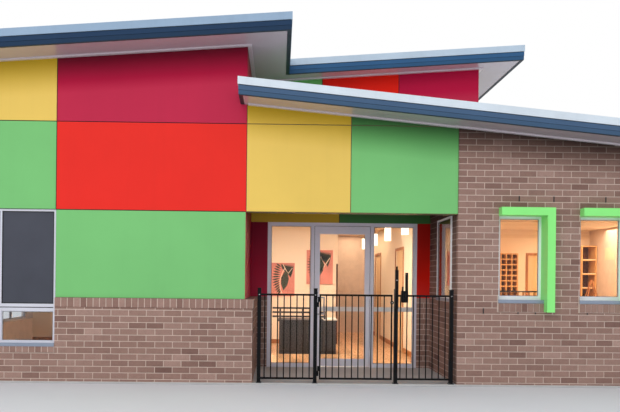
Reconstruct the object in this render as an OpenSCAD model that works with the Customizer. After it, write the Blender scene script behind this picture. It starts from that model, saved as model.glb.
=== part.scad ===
// Single-storey school building with a recessed, gated entry under two skillion roofs.
// The origin is at ground level, in the middle of the floor slab. The front faces -Y.

/* [Plan] */
// Width of each of the two panelled bays left of the entry
bay_w = 2590; // [2400:10:3200]
// Width of the entry recess
entry_w = 2918; // [2850:2:3400]
// Width of the brick wing right of the entry
wing_w = 5002; // [5000:2:6500]
// Depth of the building
building_d = 9000; // [8600:50:11000]
// Depth of the entry recess, down to the glazed screen
recess_d = 1690; // [1500:10:1900]
// Length of the set-back high wall, from the entry's left corner
high_w = 3690; // [3300:10:4200]
// Thickness of the outer walls
wall_t = 250; // [200:10:280]
// Thickness of the inner walls
inner_t = 110; // [90:5:140]
// Thickness of the bulkhead over the entry, with its cladding
bulkhead_t = 200; // [150:5:260]

/* [Heights] */
// Thickness of the floor slab above the ground
slab_t = 25; // [20:5:60]
// Thickness of the timber floor
timber_t = 12; // [8:1:20]
// Top of the brick plinth
plinth_top = 1165; // [1079:86:1251]
// Height of one row of cladding panels
row_h = 1203; // [1150:1:1250]
// Height of the screen and door head
head_z = 2376; // [2330:2:2400]
// Underside of the flat ceiling
ceiling_z = 2650; // [2620:5:2800]
// Thickness of the ceiling lining
ceiling_t = 60; // [40:5:100]
// Underside of the entry's ceiling
porch_z = 2700; // [2600:5:2800]
// Height of the upper roof's top edge over the entry's left corner
upper_ref_z = 4858; // [4800:2:5000]
// Height of the lower roof's top edge over the entry's left corner
lower_ref_z = 4056; // [4000:2:4120]

/* [Roofs] */
// Pitch of the upper roof, which rises to the right
upper_pitch = 4.35; // [4:0.05:5.5]
// Pitch of the lower roof, which falls to the right
lower_pitch = 5.4; // [4.5:0.05:5.5]
// Thickness of the roofs above their soffits
roof_t = 212; // [190:2:216]
// Thickness of the soffit lining
soffit_t = 10; // [6:1:16]
// Overhang of the upper roof in front of the panelled bays
upper_front_out = 500; // [400:10:700]
// Overhang of the upper roof in front of the set-back wall
upper_back_out = 350; // [250:10:500]
// Overhang of the upper roof's high end past the set-back wall
upper_end_out = 620; // [500:10:800]
// Overhang of the upper roof over the entry, past the panelled bays
upper_step_out = 600; // [450:10:700]
// Overhang of the lower roof in front of the wing
lower_front_out = 470; // [400:10:600]
// Overhang of both roofs at the ends and the rear
end_out = 500; // [400:10:700]
// How far the lower roof's front runs past the entry's left corner
lower_lap = 104; // [60:2:120]
// Thickness of the barge boards
barge_t = 25; // [18:1:35]
// Height of the barge boards below the cappings
barge_h = 138; // [120:2:160]
// Height of the edge cappings
capping_h = 88; // [80:2:120]
// How far the edge cappings stand proud of the barge boards
capping_out = 14; // [8:1:25]
// Width of the capping's top flange
capping_w = 90; // [60:5:140]
// How far the capping's top flange stands above the roof
capping_rise = 12; // [8:1:20]

/* [Cladding] */
// Thickness of the cladding panels
panel_t = 12; // [8:1:16]
// Width of the open joints between panels
joint_w = 12; // [8:1:16]
// How far the panels sit behind the brick face
panel_set = 10; // [5:1:30]
// How far the plinth runs past the panels into the entry
plinth_out = 100; // [60:5:120]
// Height of the brick-on-edge courses
cap_h = 120; // [110:5:130]
// How far the brick-on-edge courses stand proud
cap_out = 12; // [6:1:20]
// Width of the yellow panels over the entry
yellow_w = 1432; // [1300:2:1600]
// Width of the green panel on the set-back wall
green_w = 1130; // [1000:10:1400]
// Width of the red panel on the set-back wall
red_w = 1250; // [1000:10:1500]

/* [Windows] */
// Width of a wing window
window_w = 650; // [560:2:720]
// Sill height of the wing windows
window_sill = 1195; // [1150:5:1250]
// Head height of the wing windows
window_head = 2375; // [2340:5:2400]
// Distance from the wing's corner to its first window
window_first = 556; // [450:2:650]
// Spacing of the wing windows
window_spacing = 1125; // [1050:5:1250]
// Number of windows along the wing's front
window_count = 4; // [3:1:4]
// Distance from the front to the first window in the wing's side
side_first = 1500; // [1200:50:2000]
// Spacing of the first windows in the wing's side
side_spacing = 2200; // [1900:50:2600]
// Distance from the rear to the last window in the wing's side
side_last = 2000; // [1500:50:2100]
// Distance from the wing's right end to the first rear window
rear_first = 1000; // [700:50:1200]
// Spacing of the wing's rear windows
rear_spacing = 1600; // [1300:50:1900]
// Width of the window in the entry's side
side_window_w = 810; // [700:10:900]
// Distance from the front to the window in the entry's side
side_window_y = 310; // [300:10:420]
// Face width of the band windows' frames
frame_w = 28; // [24:1:50]
// Face width of the shrouded windows' frames
wing_frame_w = 50; // [40:1:60]
// Face width of the plain windows' frames
plain_frame_w = 24; // [20:1:40]
// Depth of the window frames
frame_d = 60; // [45:1:80]
// How far the band windows' frames sit behind the wall face
frame_set = 30; // [20:1:45]
// How far the shrouded windows' frames sit behind the wall face
wing_frame_set = 100; // [60:5:130]
// How far the plain windows' frames stand out from the wall face
plain_frame_out = 25; // [10:1:30]
// How far the wing windows' glass sits behind the frames' faces
glass_set = 14; // [8:1:24]
// Thickness of the glass
glass_t = 8; // [6:1:12]
// Width of a band window
band_w = 2230; // [1800:10:2300]
// Sill height of the band windows
band_sill = 540; // [450:5:620]
// Middle height of the band windows' transom
band_transom = 1028; // [950:2:1100]
// Height of each of the transom's two members
transom_h = 44; // [36:1:50]
// Gap between the transom's two members
transom_gap = 12; // [8:1:16]
// Depth of the gap between the transom's two members
transom_groove = 15; // [8:1:25]
// Number of lights side by side in a band window
band_lights = 3; // [2:1:4]
// Thickness of the insect screens
mesh_t = 4; // [3:1:6]
// Thickness of the sill flashings
flashing_t = 3; // [2:0.5:4]
// How far the sill flashings stand out from the wall
flashing_out = 20; // [16:1:30]
// Height of the sill flashing's folded edge
flashing_lip = 44; // [24:1:50]
// Thickness of the green shrouds
shroud_t = 108; // [90:2:130]
// Depth of the green shrouds
shroud_d = 130; // [90:5:200]
// Thickness of the shroud's lining inside the opening
shroud_lining = 20; // [12:1:28]
// How far the shroud's leg runs below the sill
shroud_drop = 160; // [100:5:190]

/* [Glazed entry] */
// Distance from the entry's left corner to the glazed screen
screen_x = 270; // [240:2:320]
// Width of a sidelight's glass
sidelight_w = 660; // [600:5:690]
// Width of the door opening
door_open_w = 915; // [880:5:960]
// Face width of the screen's members
screen_w = 50; // [40:1:60]
// Depth of the screen's members
screen_d = 100; // [80:5:120]
// Width of the door's stiles
stile_w = 72; // [60:2:100]
// Height of the door's top and bottom rails
door_rail = 115; // [100:5:160]
// Thickness of the door leaf
leaf_t = 44; // [38:1:50]
// Gap round the door leaf
leaf_gap = 8; // [6:1:10]
// Distance from the screen's face to the door leaf
leaf_set = 8; // [4:1:14]
// Gap between the floor slab and the door leaf
leaf_rise = 12; // [10:1:16]
// Radius of the hinge knuckles
knuckle_r = 10; // [8:0.5:12]
// Radius of the hinge pins
pin_r = 5; // [4:0.5:6]
// Radial clearance of the hinge pins
pin_fit = 0.06; // [0.03:0.01:0.09]
// Distance from the leaf's bottom to the lower hinge
hinge_low = 200; // [160:10:260]
// Distance from the leaf's top to the upper hinge
hinge_high = 250; // [200:10:300]
// Height of one hinge knuckle
knuckle_h = 40; // [30:1:50]
// Width of a hinge plate
plate_w = 36; // [28:1:42]
// Thickness of a hinge plate
plate_t = 6; // [4:0.5:8]
// Diameter of the door pull's bar
pull_bar = 25; // [19:1:32]
// Height of the door pull
pull_h = 270; // [250:10:450]
// Height of the pull's lower arm above the ground
pull_z = 890; // [800:5:950]
// How far the pull reaches sideways over the glass
pull_reach = 118; // [90:2:140]
// How far the pull's bar stands out from the leaf
pull_out = 65; // [50:1:80]

/* [Fence and gate] */
// Size of the square fence posts
post_w = 50; // [40:1:60]
// Height of the fence posts
post_h = 1328; // [1200:2:1450]
// Top of the fence's upper rail
rail_top = 1250; // [1150:2:1350]
// Height of the fence's rails
rail_h = 26; // [20:1:40]
// Thickness of the fence's rails
rail_t = 20; // [16:1:24]
// Diameter of the fence bars
bar_d = 16; // [12:1:20]
// Spacing of the fence bars
bar_spacing = 88.5; // [80:0.5:110]
// Distance from the first post to the first bar
left_bar = 50; // [30:1:80]
// Distance from the gate's hinge stile to its first bar
gate_bar = 84; // [30:1:100]
// Distance from the third post to the first bar after it
right_bar = 40; // [30:1:80]
// Gap between the ground and the lower rail
rail_gap = 50; // [35:1:80]
// Distance from the entry's left corner to the first post
post_first = 194; // [170:2:200]
// Distance from the first to the second post
post_second = 772; // [700:2:800]
// Distance from the second to the third post
post_gate = 1110; // [1080:2:1200]
// Distance from the fourth post to the wing
post_last = 76; // [60:2:120]
// Gap between the post and the gate, at the hinges
hinge_gap = 32; // [30:1:50]
// Gap between the gate and the post, at the latch
latch_gap = 24; // [20:1:60]
// Width of the gate's stiles
gate_stile = 20; // [18:1:24]
// Distance from the building's face to the middle of the fence
fence_set = 40; // [30:1:60]
// Size of the posts' base plates
base_w = 76; // [70:2:90]
// Thickness of the posts' base plates
base_t = 10; // [6:1:12]
// Thickness of the posts' caps
post_cap_t = 8; // [5:1:12]
// How far the posts' caps stand out
post_cap_out = 3; // [2:1:4]
// Radius of the gate's hinge barrels
gate_hinge_r = 9; // [8.5:0.5:10]
// Radius of the gate's hinge pins
gate_pin_r = 5; // [4:0.5:6]
// Height of one gate hinge barrel
gate_hinge_h = 68; // [40:1:76]
// Height of the gate's lower hinge
gate_hinge_low = 190; // [160:5:300]
// Height of the gate's upper hinge
gate_hinge_high = 1140; // [1000:10:1160]
// Width of the gate's latch tower
latch_w = 44; // [36:1:50]
// Depth of the gate's latch tower
latch_d = 31; // [26:1:36]
// Bottom of the latch tower
latch_low = 1060; // [1000:10:1120]
// Top of the latch tower
latch_high = 1592; // [1500:2:1650]
// Width of the lock box
lock_w = 90; // [80:2:110]
// Height of the lock box
lock_h = 160; // [130:5:190]
// Depth of the lock box
lock_d = 52; // [40:1:60]
// Distance from the third post's middle to the lock box
lock_x = 66; // [60:2:90]
// Bottom of the lock box
lock_z = 1145; // [1130:5:1190]
// Width of the upright on the lock box
lock_post_w = 36; // [30:1:44]
// Top of the upright on the lock box
lock_post_z = 1555; // [1450:5:1600]

/* [Interior] */
// Distance from the front to the wall that carries the pictures
picture_wall_y = 5500; // [5000:50:6000]
// Right end of the picture wall, from the entry's left corner
picture_wall_x = 1750; // [1500:10:1900]
// Distance from the front to the wing's inner wall
wing_wall_y = 6200; // [5500:50:7000]
// Width of an inner door
inner_door_w = 820; // [720:10:920]
// Height of an inner door
inner_door_h = 2040; // [1980:10:2100]
// Thickness of an inner door
inner_door_t = 40; // [35:1:45]
// How far an inner door sits behind the wall's face
inner_door_set = 20; // [10:1:30]
// Distance from the front to the first door between lobby and wing
lobby_door_near = 4000; // [3600:50:4800]
// Distance from the front to the second door between lobby and wing
lobby_door_far = 6900; // [6700:50:7400]
// Distance from the entry's left corner to the door in the wing's inner wall
wing_door = 6240; // [5800:20:6600]
// Distance from the entry's left corner to the first picture
picture1_x = 290; // [200:10:400]
// Width of the first picture
picture1_w = 510; // [400:10:600]
// Bottom of the first picture
picture1_z = 1080; // [1000:10:1200]
// Height of the first picture
picture1_h = 730; // [600:10:800]
// Distance from the entry's left corner to the second picture
picture2_x = 1060; // [1020:5:1080]
// Width of the second picture
picture2_w = 580; // [420:10:600]
// Bottom of the second picture
picture2_z = 1350; // [1250:10:1450]
// Height of the second picture
picture2_h = 750; // [650:10:850]
// Thickness of the pictures' stretchers
picture_t = 30; // [20:1:40]
// Width of the reception desk
desk_w = 1120; // [900:10:1300]
// Depth of the reception desk
desk_d = 650; // [550:10:750]
// Height of the reception desk
desk_h = 645; // [560:5:720]
// Right end of the reception desk, from the entry's left corner
desk_x = 1570; // [1400:10:1700]
// Distance from the front to the reception desk
desk_y = 3450; // [3400:50:4400]
// Thickness of the desk's top
desk_top_t = 30; // [20:1:40]
// Height of the desk's plinth
desk_foot = 60; // [40:5:100]
// Length of the slats over the desk
slat_w = 1010; // [800:10:1060]
// Height of one slat
slat_h = 34; // [24:1:44]
// Thickness of the slats and of their uprights
slat_t = 24; // [16:1:30]
// Spacing of the slats
slat_spacing = 80; // [60:2:90]
// Number of slats
slat_count = 3; // [2:1:4]
// Distance from the desk's right end to the slats
slat_end = 220; // [100:10:300]
// Thickness of the desk's battens
batten_t = 18; // [12:1:20]
// Width of the desk's battens
batten_w = 42; // [30:1:60]
// Gap between the desk's battens
batten_gap = 22; // [15:1:40]
// Diameter of the pendant lamps
lamp_d = 130; // [90:5:180]
// Length of a pendant lamp's glass
lamp_h = 260; // [180:5:320]
// Distance from the entry's left corner to the row of lamps
lamp_x = 2620; // [2400:10:2700]
// Distance from the front to the first lamp
lamp_y = 2300; // [2200:50:2800]
// Spacing of the lamps
lamp_spacing = 1800; // [1500:50:1900]
// Number of lamps
lamp_count = 4; // [2:1:4]
// Height of the lamps' middle
lamp_z = 2370; // [2300:10:2420]
// Diameter of a lamp's stem
stem_d = 12; // [8:1:20]
// Diameter of a lamp's ceiling rose
rose_d = 100; // [80:5:120]
// Height of a lamp's ceiling rose
rose_h = 20; // [12:1:30]

/* [Hidden] */

// Plan lines
building_w = 2 * bay_w + entry_w + wing_w;
left_x = -building_w / 2;
bay_x = left_x + bay_w;
entry_x = left_x + 2 * bay_w;
wing_x = entry_x + entry_w;
right_x = building_w / 2;
high_x = entry_x + high_w;
front_y = -building_d / 2;
rear_y = building_d / 2;
setback_y = front_y + recess_d;
floor_z = slab_t + timber_t;
skin_t = panel_set + panel_t;
roof_edge = capping_out + barge_t;
door_x = entry_x + screen_x + 2 * screen_w + sidelight_w;
door_end_x = door_x + door_open_w;
screen_right_x = door_end_x + 2 * screen_w + sidelight_w;
row2_z = plinth_top + row_h;
row1_z = row2_z + row_h;
far = 20000;
eps = 1;

// Colours
brick = [0.59, 0.46, 0.43];
yellow = [0.93, 0.79, 0.42];
green = [0.49, 0.78, 0.49];
red = [0.93, 0.22, 0.19];
crimson = [0.72, 0.20, 0.31];
zinc = [0.68, 0.76, 0.84];
slate_blue = [0.20, 0.34, 0.46];
soffit_grey = [0.80, 0.80, 0.83];
silver = [0.78, 0.79, 0.82];
black = [0.09, 0.10, 0.12];
cream = [0.95, 0.87, 0.72];
timber = [0.72, 0.45, 0.22];
concrete = [0.70, 0.70, 0.70];

function upper_top(x) = upper_ref_z + (x - entry_x) * tan(upper_pitch);
function lower_top(x) = lower_ref_z - (x - entry_x) * tan(lower_pitch);

// Box between two corners
module block(x, y, z) {
    translate([x[0], y[0], z[0]])
        cube([x[1] - x[0], y[1] - y[0], z[1] - z[0]]);
}

// Space between two heights measured down from a sloping roof plane
module between(top_at, drop_high, drop_low) {
    translate([0, far, 0])
        rotate([90, 0, 0])
            linear_extrude(2 * far)
                polygon([
                    [-far / 2, top_at(-far / 2) - drop_low],
                    [far / 2, top_at(far / 2) - drop_low],
                    [far / 2, top_at(far / 2) - drop_high],
                    [-far / 2, top_at(-far / 2) - drop_high]
                ]);
}

module under_upper() {
    between(function (x) upper_top(x), roof_t, far / 2);
}

module under_lower() {
    between(function (x) lower_top(x), roof_t, far / 2);
}

// Plan outline of the upper roof, moved inwards by a distance
function upper_plan(inset) = [
    [left_x - end_out + inset, front_y - upper_front_out + inset],
    [entry_x + upper_step_out - inset, front_y - upper_front_out + inset],
    [entry_x + upper_step_out - inset, setback_y - upper_back_out + inset],
    [high_x + upper_end_out - inset, setback_y - upper_back_out + inset],
    [high_x + upper_end_out - inset, rear_y + end_out - inset],
    [left_x - end_out + inset, rear_y + end_out - inset]
];

// Plan outline of the lower roof: the edges that meet walls stay where they are
function lower_plan(inset) = [
    [entry_x - lower_lap + inset, front_y - lower_front_out + inset],
    [right_x + end_out - inset, front_y - lower_front_out + inset],
    [right_x + end_out - inset, rear_y + end_out - inset],
    [high_x - lower_lap + inset, rear_y + end_out - inset],
    [high_x - lower_lap + inset, rear_y],
    [high_x, rear_y],
    [high_x, setback_y],
    [entry_x, setback_y],
    [entry_x, front_y + panel_set],
    [entry_x - lower_lap + inset, front_y + panel_set]
];

module upper_band(outer, inner, drop_high, drop_low) {
    intersection() {
        linear_extrude(far / 2)
            difference() {
                polygon(upper_plan(outer));
                polygon(upper_plan(inner));
            }
        between(function (x) upper_top(x), drop_high, drop_low);
    }
}

module lower_band(outer, inner, drop_high, drop_low) {
    intersection() {
        linear_extrude(far / 2)
            difference() {
                polygon(lower_plan(outer));
                polygon(lower_plan(inner));
            }
        between(function (x) lower_top(x), drop_high, drop_low);
    }
}

// Seams of the panels, along the walls
seam_entry_x = entry_x + yellow_w;
seam_green_x = entry_x + green_w;
seam_red_x = seam_green_x + red_w;
side_seams = [for (i = [0 : 3]) front_y + skin_t + i * (building_d - wall_t - skin_t) / 3];
end_seams = [for (i = [0 : 3]) setback_y + panel_t + i * (rear_y - wall_t - setback_y - panel_t) / 3];
top_z = far / 2;

// Windows: each place is the opening's left corner on the wall face, the turn, and the width
band_places = [
    [bay_x - band_w, front_y, 0],
    [left_x, (side_seams[1] + side_seams[2] + band_w) / 2, -90],
    [left_x + (bay_w + band_w) / 2, rear_y, 180],
    [bay_x + (bay_w + band_w) / 2, rear_y, 180]
];
front_places = [
    for (i = [0 : window_count - 1])
        [wing_x + window_first + i * window_spacing, front_y, 0, window_w]
];
side_places = [
    for (y = [front_y + side_first, front_y + side_first + side_spacing, rear_y - side_last])
        [right_x, y, 90, window_w]
];
plain_places = [
    [wing_x, front_y + side_window_y + side_window_w, -90, side_window_w],
    [right_x - rear_first, rear_y, 180, window_w],
    [right_x - rear_first - rear_spacing, rear_y, 180, window_w]
];
shroud_places = concat(front_places, side_places);
wing_places = concat(shroud_places, plain_places);

module at_place(p) {
    translate([p[0], p[1], 0])
        rotate(p[2])
            children();
}

module window_openings() {
    for (p = band_places)
        at_place(p)
            block([0, band_w], [-eps, wall_t + eps], [band_sill, row2_z]);
    for (p = wing_places)
        at_place(p)
            block([0, p[3]], [-eps, wall_t + eps], [window_sill, window_head]);
}

// Frame of a window, round one opening in the XZ plane
module frame_ring(w, z_low, z_high, face, depth) {
    difference() {
        block([0, w], [0, depth], [z_low, z_high]);
        block([face, w - face], [-eps, depth + eps], [z_low + face, z_high - face]);
    }
}

module floor_slab() {
    color(concrete)
        block([left_x, right_x], [front_y, rear_y], [0, slab_t]);
}

module timber_floor() {
    color(timber)
        translate([0, 0, slab_t])
            linear_extrude(timber_t)
                polygon([
                    [left_x + wall_t, front_y + wall_t],
                    [entry_x - wall_t, front_y + wall_t],
                    [entry_x - wall_t, setback_y + wall_t],
                    [wing_x, setback_y + wall_t],
                    [wing_x, rear_y - wall_t],
                    [left_x + wall_t, rear_y - wall_t]
                ]);
}

module brick_plinth() {
    color(brick)
        difference() {
            union() {
                block([left_x, entry_x + plinth_out], [front_y, front_y + wall_t],
                    [slab_t, plinth_top - cap_h]);
                block([left_x, left_x + wall_t], [front_y, rear_y - wall_t], [slab_t, plinth_top - cap_h]);
                block([entry_x - wall_t, entry_x + plinth_out], [front_y, setback_y],
                    [slab_t, plinth_top - cap_h]);
                block([entry_x - wall_t, entry_x + screen_x], [setback_y, setback_y + wall_t],
                    [slab_t, plinth_top]);
                block([screen_right_x, wing_x + wall_t], [setback_y, setback_y + wall_t],
                    [slab_t, plinth_top]);
            }
            for (p = band_places)
                at_place(p)
                    block([0, band_w], [-eps, wall_t + eps], [band_sill - cap_h, row2_z]);
        }
}

// Brick-on-edge courses on the plinth and under the windows
module brick_cappings() {
    color(brick * 0.95)
        union() {
            difference() {
                union() {
                    block([left_x - cap_out, entry_x + plinth_out + cap_out],
                        [front_y - cap_out, front_y + wall_t], [plinth_top - cap_h, plinth_top]);
                    block([left_x - cap_out, left_x + wall_t], [front_y, rear_y - wall_t],
                        [plinth_top - cap_h, plinth_top]);
                    block([entry_x - wall_t, entry_x + plinth_out + cap_out], [front_y, setback_y],
                        [plinth_top - cap_h, plinth_top]);
                }
                for (p = band_places)
                    at_place(p)
                        block([0, band_w], [-wall_t, wall_t + eps], [0, row2_z]);
            }
            for (p = [band_places[0], band_places[1]])
                at_place(p)
                    block([0, band_w], [-cap_out, wall_t], [band_sill - cap_h, band_sill]);
        }
}

module left_front_wall() {
    color("dimgray")
        difference() {
            intersection() {
                block([left_x + skin_t, entry_x - panel_t],
                    [front_y + skin_t, front_y + wall_t], [plinth_top, far / 2]);
                under_upper();
            }
            window_openings();
        }
}

module left_side_wall() {
    color("dimgray")
        difference() {
            intersection() {
                block([left_x + skin_t, left_x + wall_t], [front_y + wall_t, rear_y - wall_t],
                    [plinth_top, far / 2]);
                under_upper();
            }
            window_openings();
        }
}

module rear_wall() {
    color(brick)
        difference() {
            union() {
                intersection() {
                    block([left_x, high_x], [rear_y - wall_t, rear_y], [slab_t, far / 2]);
                    under_upper();
                }
                intersection() {
                    block([entry_x, right_x], [rear_y - wall_t, rear_y], [slab_t, far / 2]);
                    under_lower();
                }
            }
            window_openings();
        }
}

module wing_front_wall() {
    color(brick)
        difference() {
            intersection() {
                block([wing_x, right_x], [front_y, front_y + wall_t], [slab_t, far / 2]);
                under_lower();
            }
            window_openings();
        }
}

module wing_side_wall() {
    color(brick)
        difference() {
            intersection() {
                block([right_x - wall_t, right_x], [front_y + wall_t, rear_y - wall_t], [slab_t, far / 2]);
                under_lower();
            }
            window_openings();
        }
}

// Brick wall on the right of the entry
module entry_side_wall() {
    color(brick)
        difference() {
            intersection() {
                block([wing_x, wing_x + wall_t], [front_y + wall_t, setback_y], [slab_t, far / 2]);
                under_lower();
            }
            window_openings();
        }
}

// Framed wall on the left of the entry, up to the upper roof
module entry_return_wall() {
    color("dimgray")
        intersection() {
            block([entry_x - wall_t, entry_x - panel_t], [front_y + wall_t, setback_y],
                [plinth_top, far / 2]);
            under_upper();
        }
}

module entry_left_pier() {
    color("dimgray")
        block([entry_x - wall_t, entry_x + screen_x], [setback_y + panel_t, setback_y + wall_t],
            [plinth_top, head_z]);
}

module entry_right_pier() {
    color("dimgray")
        block([screen_right_x, wing_x + wall_t], [setback_y + panel_t, setback_y + wall_t],
            [plinth_top, head_z]);
}

// Wall over the glazed screen and across the wing's ceiling, up to the upper roof
module set_back_wall() {
    color("dimgray")
        intersection() {
            union() {
                block([entry_x - wall_t, wing_x + wall_t], [setback_y + panel_t, setback_y + wall_t],
                    [head_z, far / 2]);
                block([wing_x, high_x - panel_t], [setback_y + panel_t, setback_y + wall_t],
                    [ceiling_z + ceiling_t, far / 2]);
            }
            under_upper();
        }
}

module high_end_wall() {
    color("dimgray")
        intersection() {
            block([high_x - wall_t, high_x - panel_t], [setback_y + wall_t, rear_y - wall_t],
                [ceiling_z + ceiling_t, far / 2]);
            under_upper();
        }
}

module entry_bulkhead() {
    color("dimgray")
        intersection() {
            block([entry_x, wing_x], [front_y + skin_t, front_y + bulkhead_t], [row2_z, far / 2]);
            under_lower();
        }
}

module porch_ceiling() {
    color(soffit_grey)
        block([entry_x, wing_x], [front_y + bulkhead_t, setback_y], [porch_z, porch_z + soffit_t]);
}

module flat_ceiling() {
    color(cream)
        union() {
            block([left_x + wall_t, right_x - wall_t], [setback_y + wall_t, rear_y - wall_t],
                [ceiling_z, ceiling_z + ceiling_t]);
            block([left_x + wall_t, entry_x - wall_t], [front_y + wall_t, setback_y + wall_t],
                [ceiling_z, ceiling_z + ceiling_t]);
            block([wing_x + wall_t, right_x - wall_t], [front_y + wall_t, setback_y + wall_t],
                [ceiling_z, ceiling_z + ceiling_t]);
        }
}

module upper_roof() {
    color(zinc)
        upper_slab(roof_edge, 0, roof_t);
}

module upper_slab(inset, drop_high, drop_low) {
    intersection() {
        linear_extrude(far / 2)
            polygon(upper_plan(inset));
        between(function (x) upper_top(x), drop_high, drop_low);
    }
}

module lower_slab(inset, drop_high, drop_low) {
    intersection() {
        linear_extrude(far / 2)
            polygon(lower_plan(inset));
        between(function (x) lower_top(x), drop_high, drop_low);
    }
}

module lower_roof() {
    color(zinc)
        lower_slab(roof_edge, 0, roof_t);
}

// Plan of the tall part of the building, out to its faces
module high_footprint() {
    polygon([
        [left_x, front_y + panel_set],
        [entry_x, front_y + panel_set],
        [entry_x, setback_y],
        [high_x, setback_y],
        [high_x, rear_y],
        [left_x, rear_y]
    ]);
}

// Plan of the low part of the building, out to its faces
module low_footprint() {
    polygon([
        [entry_x, front_y + panel_set],
        [wing_x, front_y + panel_set],
        [wing_x, front_y],
        [right_x, front_y],
        [right_x, rear_y],
        [high_x, rear_y],
        [high_x, setback_y],
        [entry_x, setback_y]
    ]);
}

module upper_soffit() {
    color(soffit_grey)
        difference() {
            upper_slab(roof_edge, roof_t, roof_t + soffit_t);
            linear_extrude(far / 2)
                high_footprint();
        }
}

module lower_soffit() {
    color(soffit_grey)
        difference() {
            lower_slab(roof_edge, roof_t, roof_t + soffit_t);
            linear_extrude(far / 2)
                low_footprint();
        }
}

module barge_boards() {
    color(slate_blue) {
        upper_band(capping_out, roof_edge, 0, capping_h + barge_h);
        lower_band(capping_out, roof_edge, 0, capping_h + barge_h);
    }
}

module edge_cappings() {
    color(zinc) {
        upper_band(0, capping_w, -capping_rise, 0);
        upper_band(0, capping_out, 0, capping_h);
        lower_band(0, capping_w, -capping_rise, 0);
        lower_band(0, capping_out, 0, capping_h);
    }
}

// Cladding sheet on the front face, with half a joint all round
module front_panel(x, z) {
    block([x[0] + joint_w / 2, x[1] - joint_w / 2], [front_y + panel_set, front_y + skin_t],
        [z[0] + joint_w / 2, z[1] - joint_w / 2]);
}

// Cladding sheet on the left side
module side_panel(y, z) {
    block([left_x + panel_set, left_x + skin_t], [y[0] + joint_w / 2, y[1] - joint_w / 2],
        [z[0] + joint_w / 2, z[1] - joint_w / 2]);
}

// Cladding sheet on the set-back wall, above the lower roof
module set_back_panel(x) {
    intersection() {
        block([x[0] + joint_w / 2, x[1] - joint_w / 2], [setback_y, setback_y + panel_t], [head_z, far / 2]);
        under_upper();
        between(function (x) lower_top(x), -far / 2, 0);
    }
}

// Cladding sheet on the high end wall, above the lower roof
module high_end_panel(y) {
    intersection() {
        block([high_x - panel_t, high_x], [y[0] + joint_w / 2, y[1] - joint_w / 2],
            [lower_top(high_x), far / 2]);
        under_upper();
    }
}

module cladding_cut() {
    difference() {
        intersection() {
            children();
            under_upper();
        }
        window_openings();
    }
}

module bulkhead_cut() {
    intersection() {
        children();
        under_lower();
    }
}

module yellow_panels() {
    color(yellow) {
        cladding_cut() {
            front_panel([left_x + panel_set, bay_x], [row1_z, top_z]);
            side_panel([side_seams[1], side_seams[2]], [row1_z, top_z]);
            side_panel([side_seams[0], side_seams[1]], [plinth_top, row2_z]);
        }
        bulkhead_cut() {
            front_panel([entry_x, seam_entry_x], [row2_z, row1_z]);
            front_panel([entry_x, seam_entry_x], [row1_z, top_z]);
        }
        block([entry_x, seam_entry_x - joint_w / 2], [setback_y, setback_y + panel_t], [head_z, porch_z]);
        high_end_panel([end_seams[0], end_seams[1]]);
    }
}

module green_panels() {
    color(green) {
        cladding_cut() {
            front_panel([left_x + panel_set, bay_x], [row2_z, row1_z]);
            front_panel([bay_x, entry_x], [plinth_top, row2_z]);
            side_panel([side_seams[0], side_seams[1]], [row2_z, row1_z]);
            side_panel([side_seams[2], side_seams[3]], [row1_z, top_z]);
            side_panel([side_seams[1], side_seams[2]], [plinth_top, row2_z]);
        }
        bulkhead_cut() {
            front_panel([seam_entry_x, wing_x], [row2_z, row1_z]);
            front_panel([seam_entry_x, wing_x], [row1_z, top_z]);
        }
        block([seam_entry_x + joint_w / 2, wing_x], [setback_y, setback_y + panel_t], [head_z, porch_z]);
        set_back_panel([entry_x, seam_green_x]);
        high_end_panel([end_seams[2], end_seams[3]]);
    }
}

module red_panels() {
    color(red) {
        cladding_cut() {
            front_panel([left_x + panel_set, bay_x - band_w], [plinth_top, row2_z]);
            front_panel([bay_x, entry_x], [row2_z, row1_z]);
            side_panel([side_seams[1], side_seams[2]], [row2_z, row1_z]);
            side_panel([side_seams[2], side_seams[3]], [plinth_top, row2_z]);
        }
        block([screen_right_x, wing_x], [setback_y, setback_y + panel_t], [plinth_top, head_z]);
        set_back_panel([seam_green_x, seam_red_x]);
        high_end_panel([end_seams[1], end_seams[2]]);
    }
}

module crimson_panels() {
    color(crimson) {
        cladding_cut() {
            front_panel([bay_x, entry_x], [row1_z, top_z]);
            side_panel([side_seams[0], side_seams[1]], [row1_z, top_z]);
            side_panel([side_seams[2], side_seams[3]], [row2_z, row1_z]);
            block([entry_x - panel_t, entry_x], [front_y + skin_t, setback_y], [plinth_top, top_z]);
        }
        block([entry_x, entry_x + screen_x], [setback_y, setback_y + panel_t], [plinth_top, head_z]);
        set_back_panel([seam_red_x, high_x]);
    }
}

// Band windows: an outer frame, mullions and a double transom
light_w = (band_w - frame_w) / band_lights;
transom_half = transom_h + transom_gap / 2;

module band_window_frames() {
    color(silver)
        for (p = band_places)
            at_place(p)
                translate([0, frame_set, 0])
                    difference() {
                        block([0, band_w], [0, frame_d], [band_sill, row2_z]);
                        for (i = [0 : band_lights - 1]) {
                            light(i, [band_sill + frame_w, band_transom - transom_half]);
                            light(i, [band_transom + transom_half, row2_z - frame_w]);
                        }
                        block([frame_w, band_w - frame_w], [-eps, transom_groove],
                            [band_transom - transom_gap / 2, band_transom + transom_gap / 2]);
                    }
}

// Space of one light between the frame's members
module light(i, z) {
    block([frame_w + i * light_w, i * light_w + light_w], [-eps, frame_d + eps], z);
}

mesh_set = 8;

module insect_screens() {
    color([0.25, 0.27, 0.30])
        for (p = band_places)
            at_place(p)
                translate([0, frame_set + mesh_set, 0])
                    for (i = [0 : band_lights - 1])
                        intersection() {
                            light(i, [band_transom + transom_half, row2_z - frame_w]);
                            block([0, band_w], [0, mesh_t], [0, top_z]);
                        }
}

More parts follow.
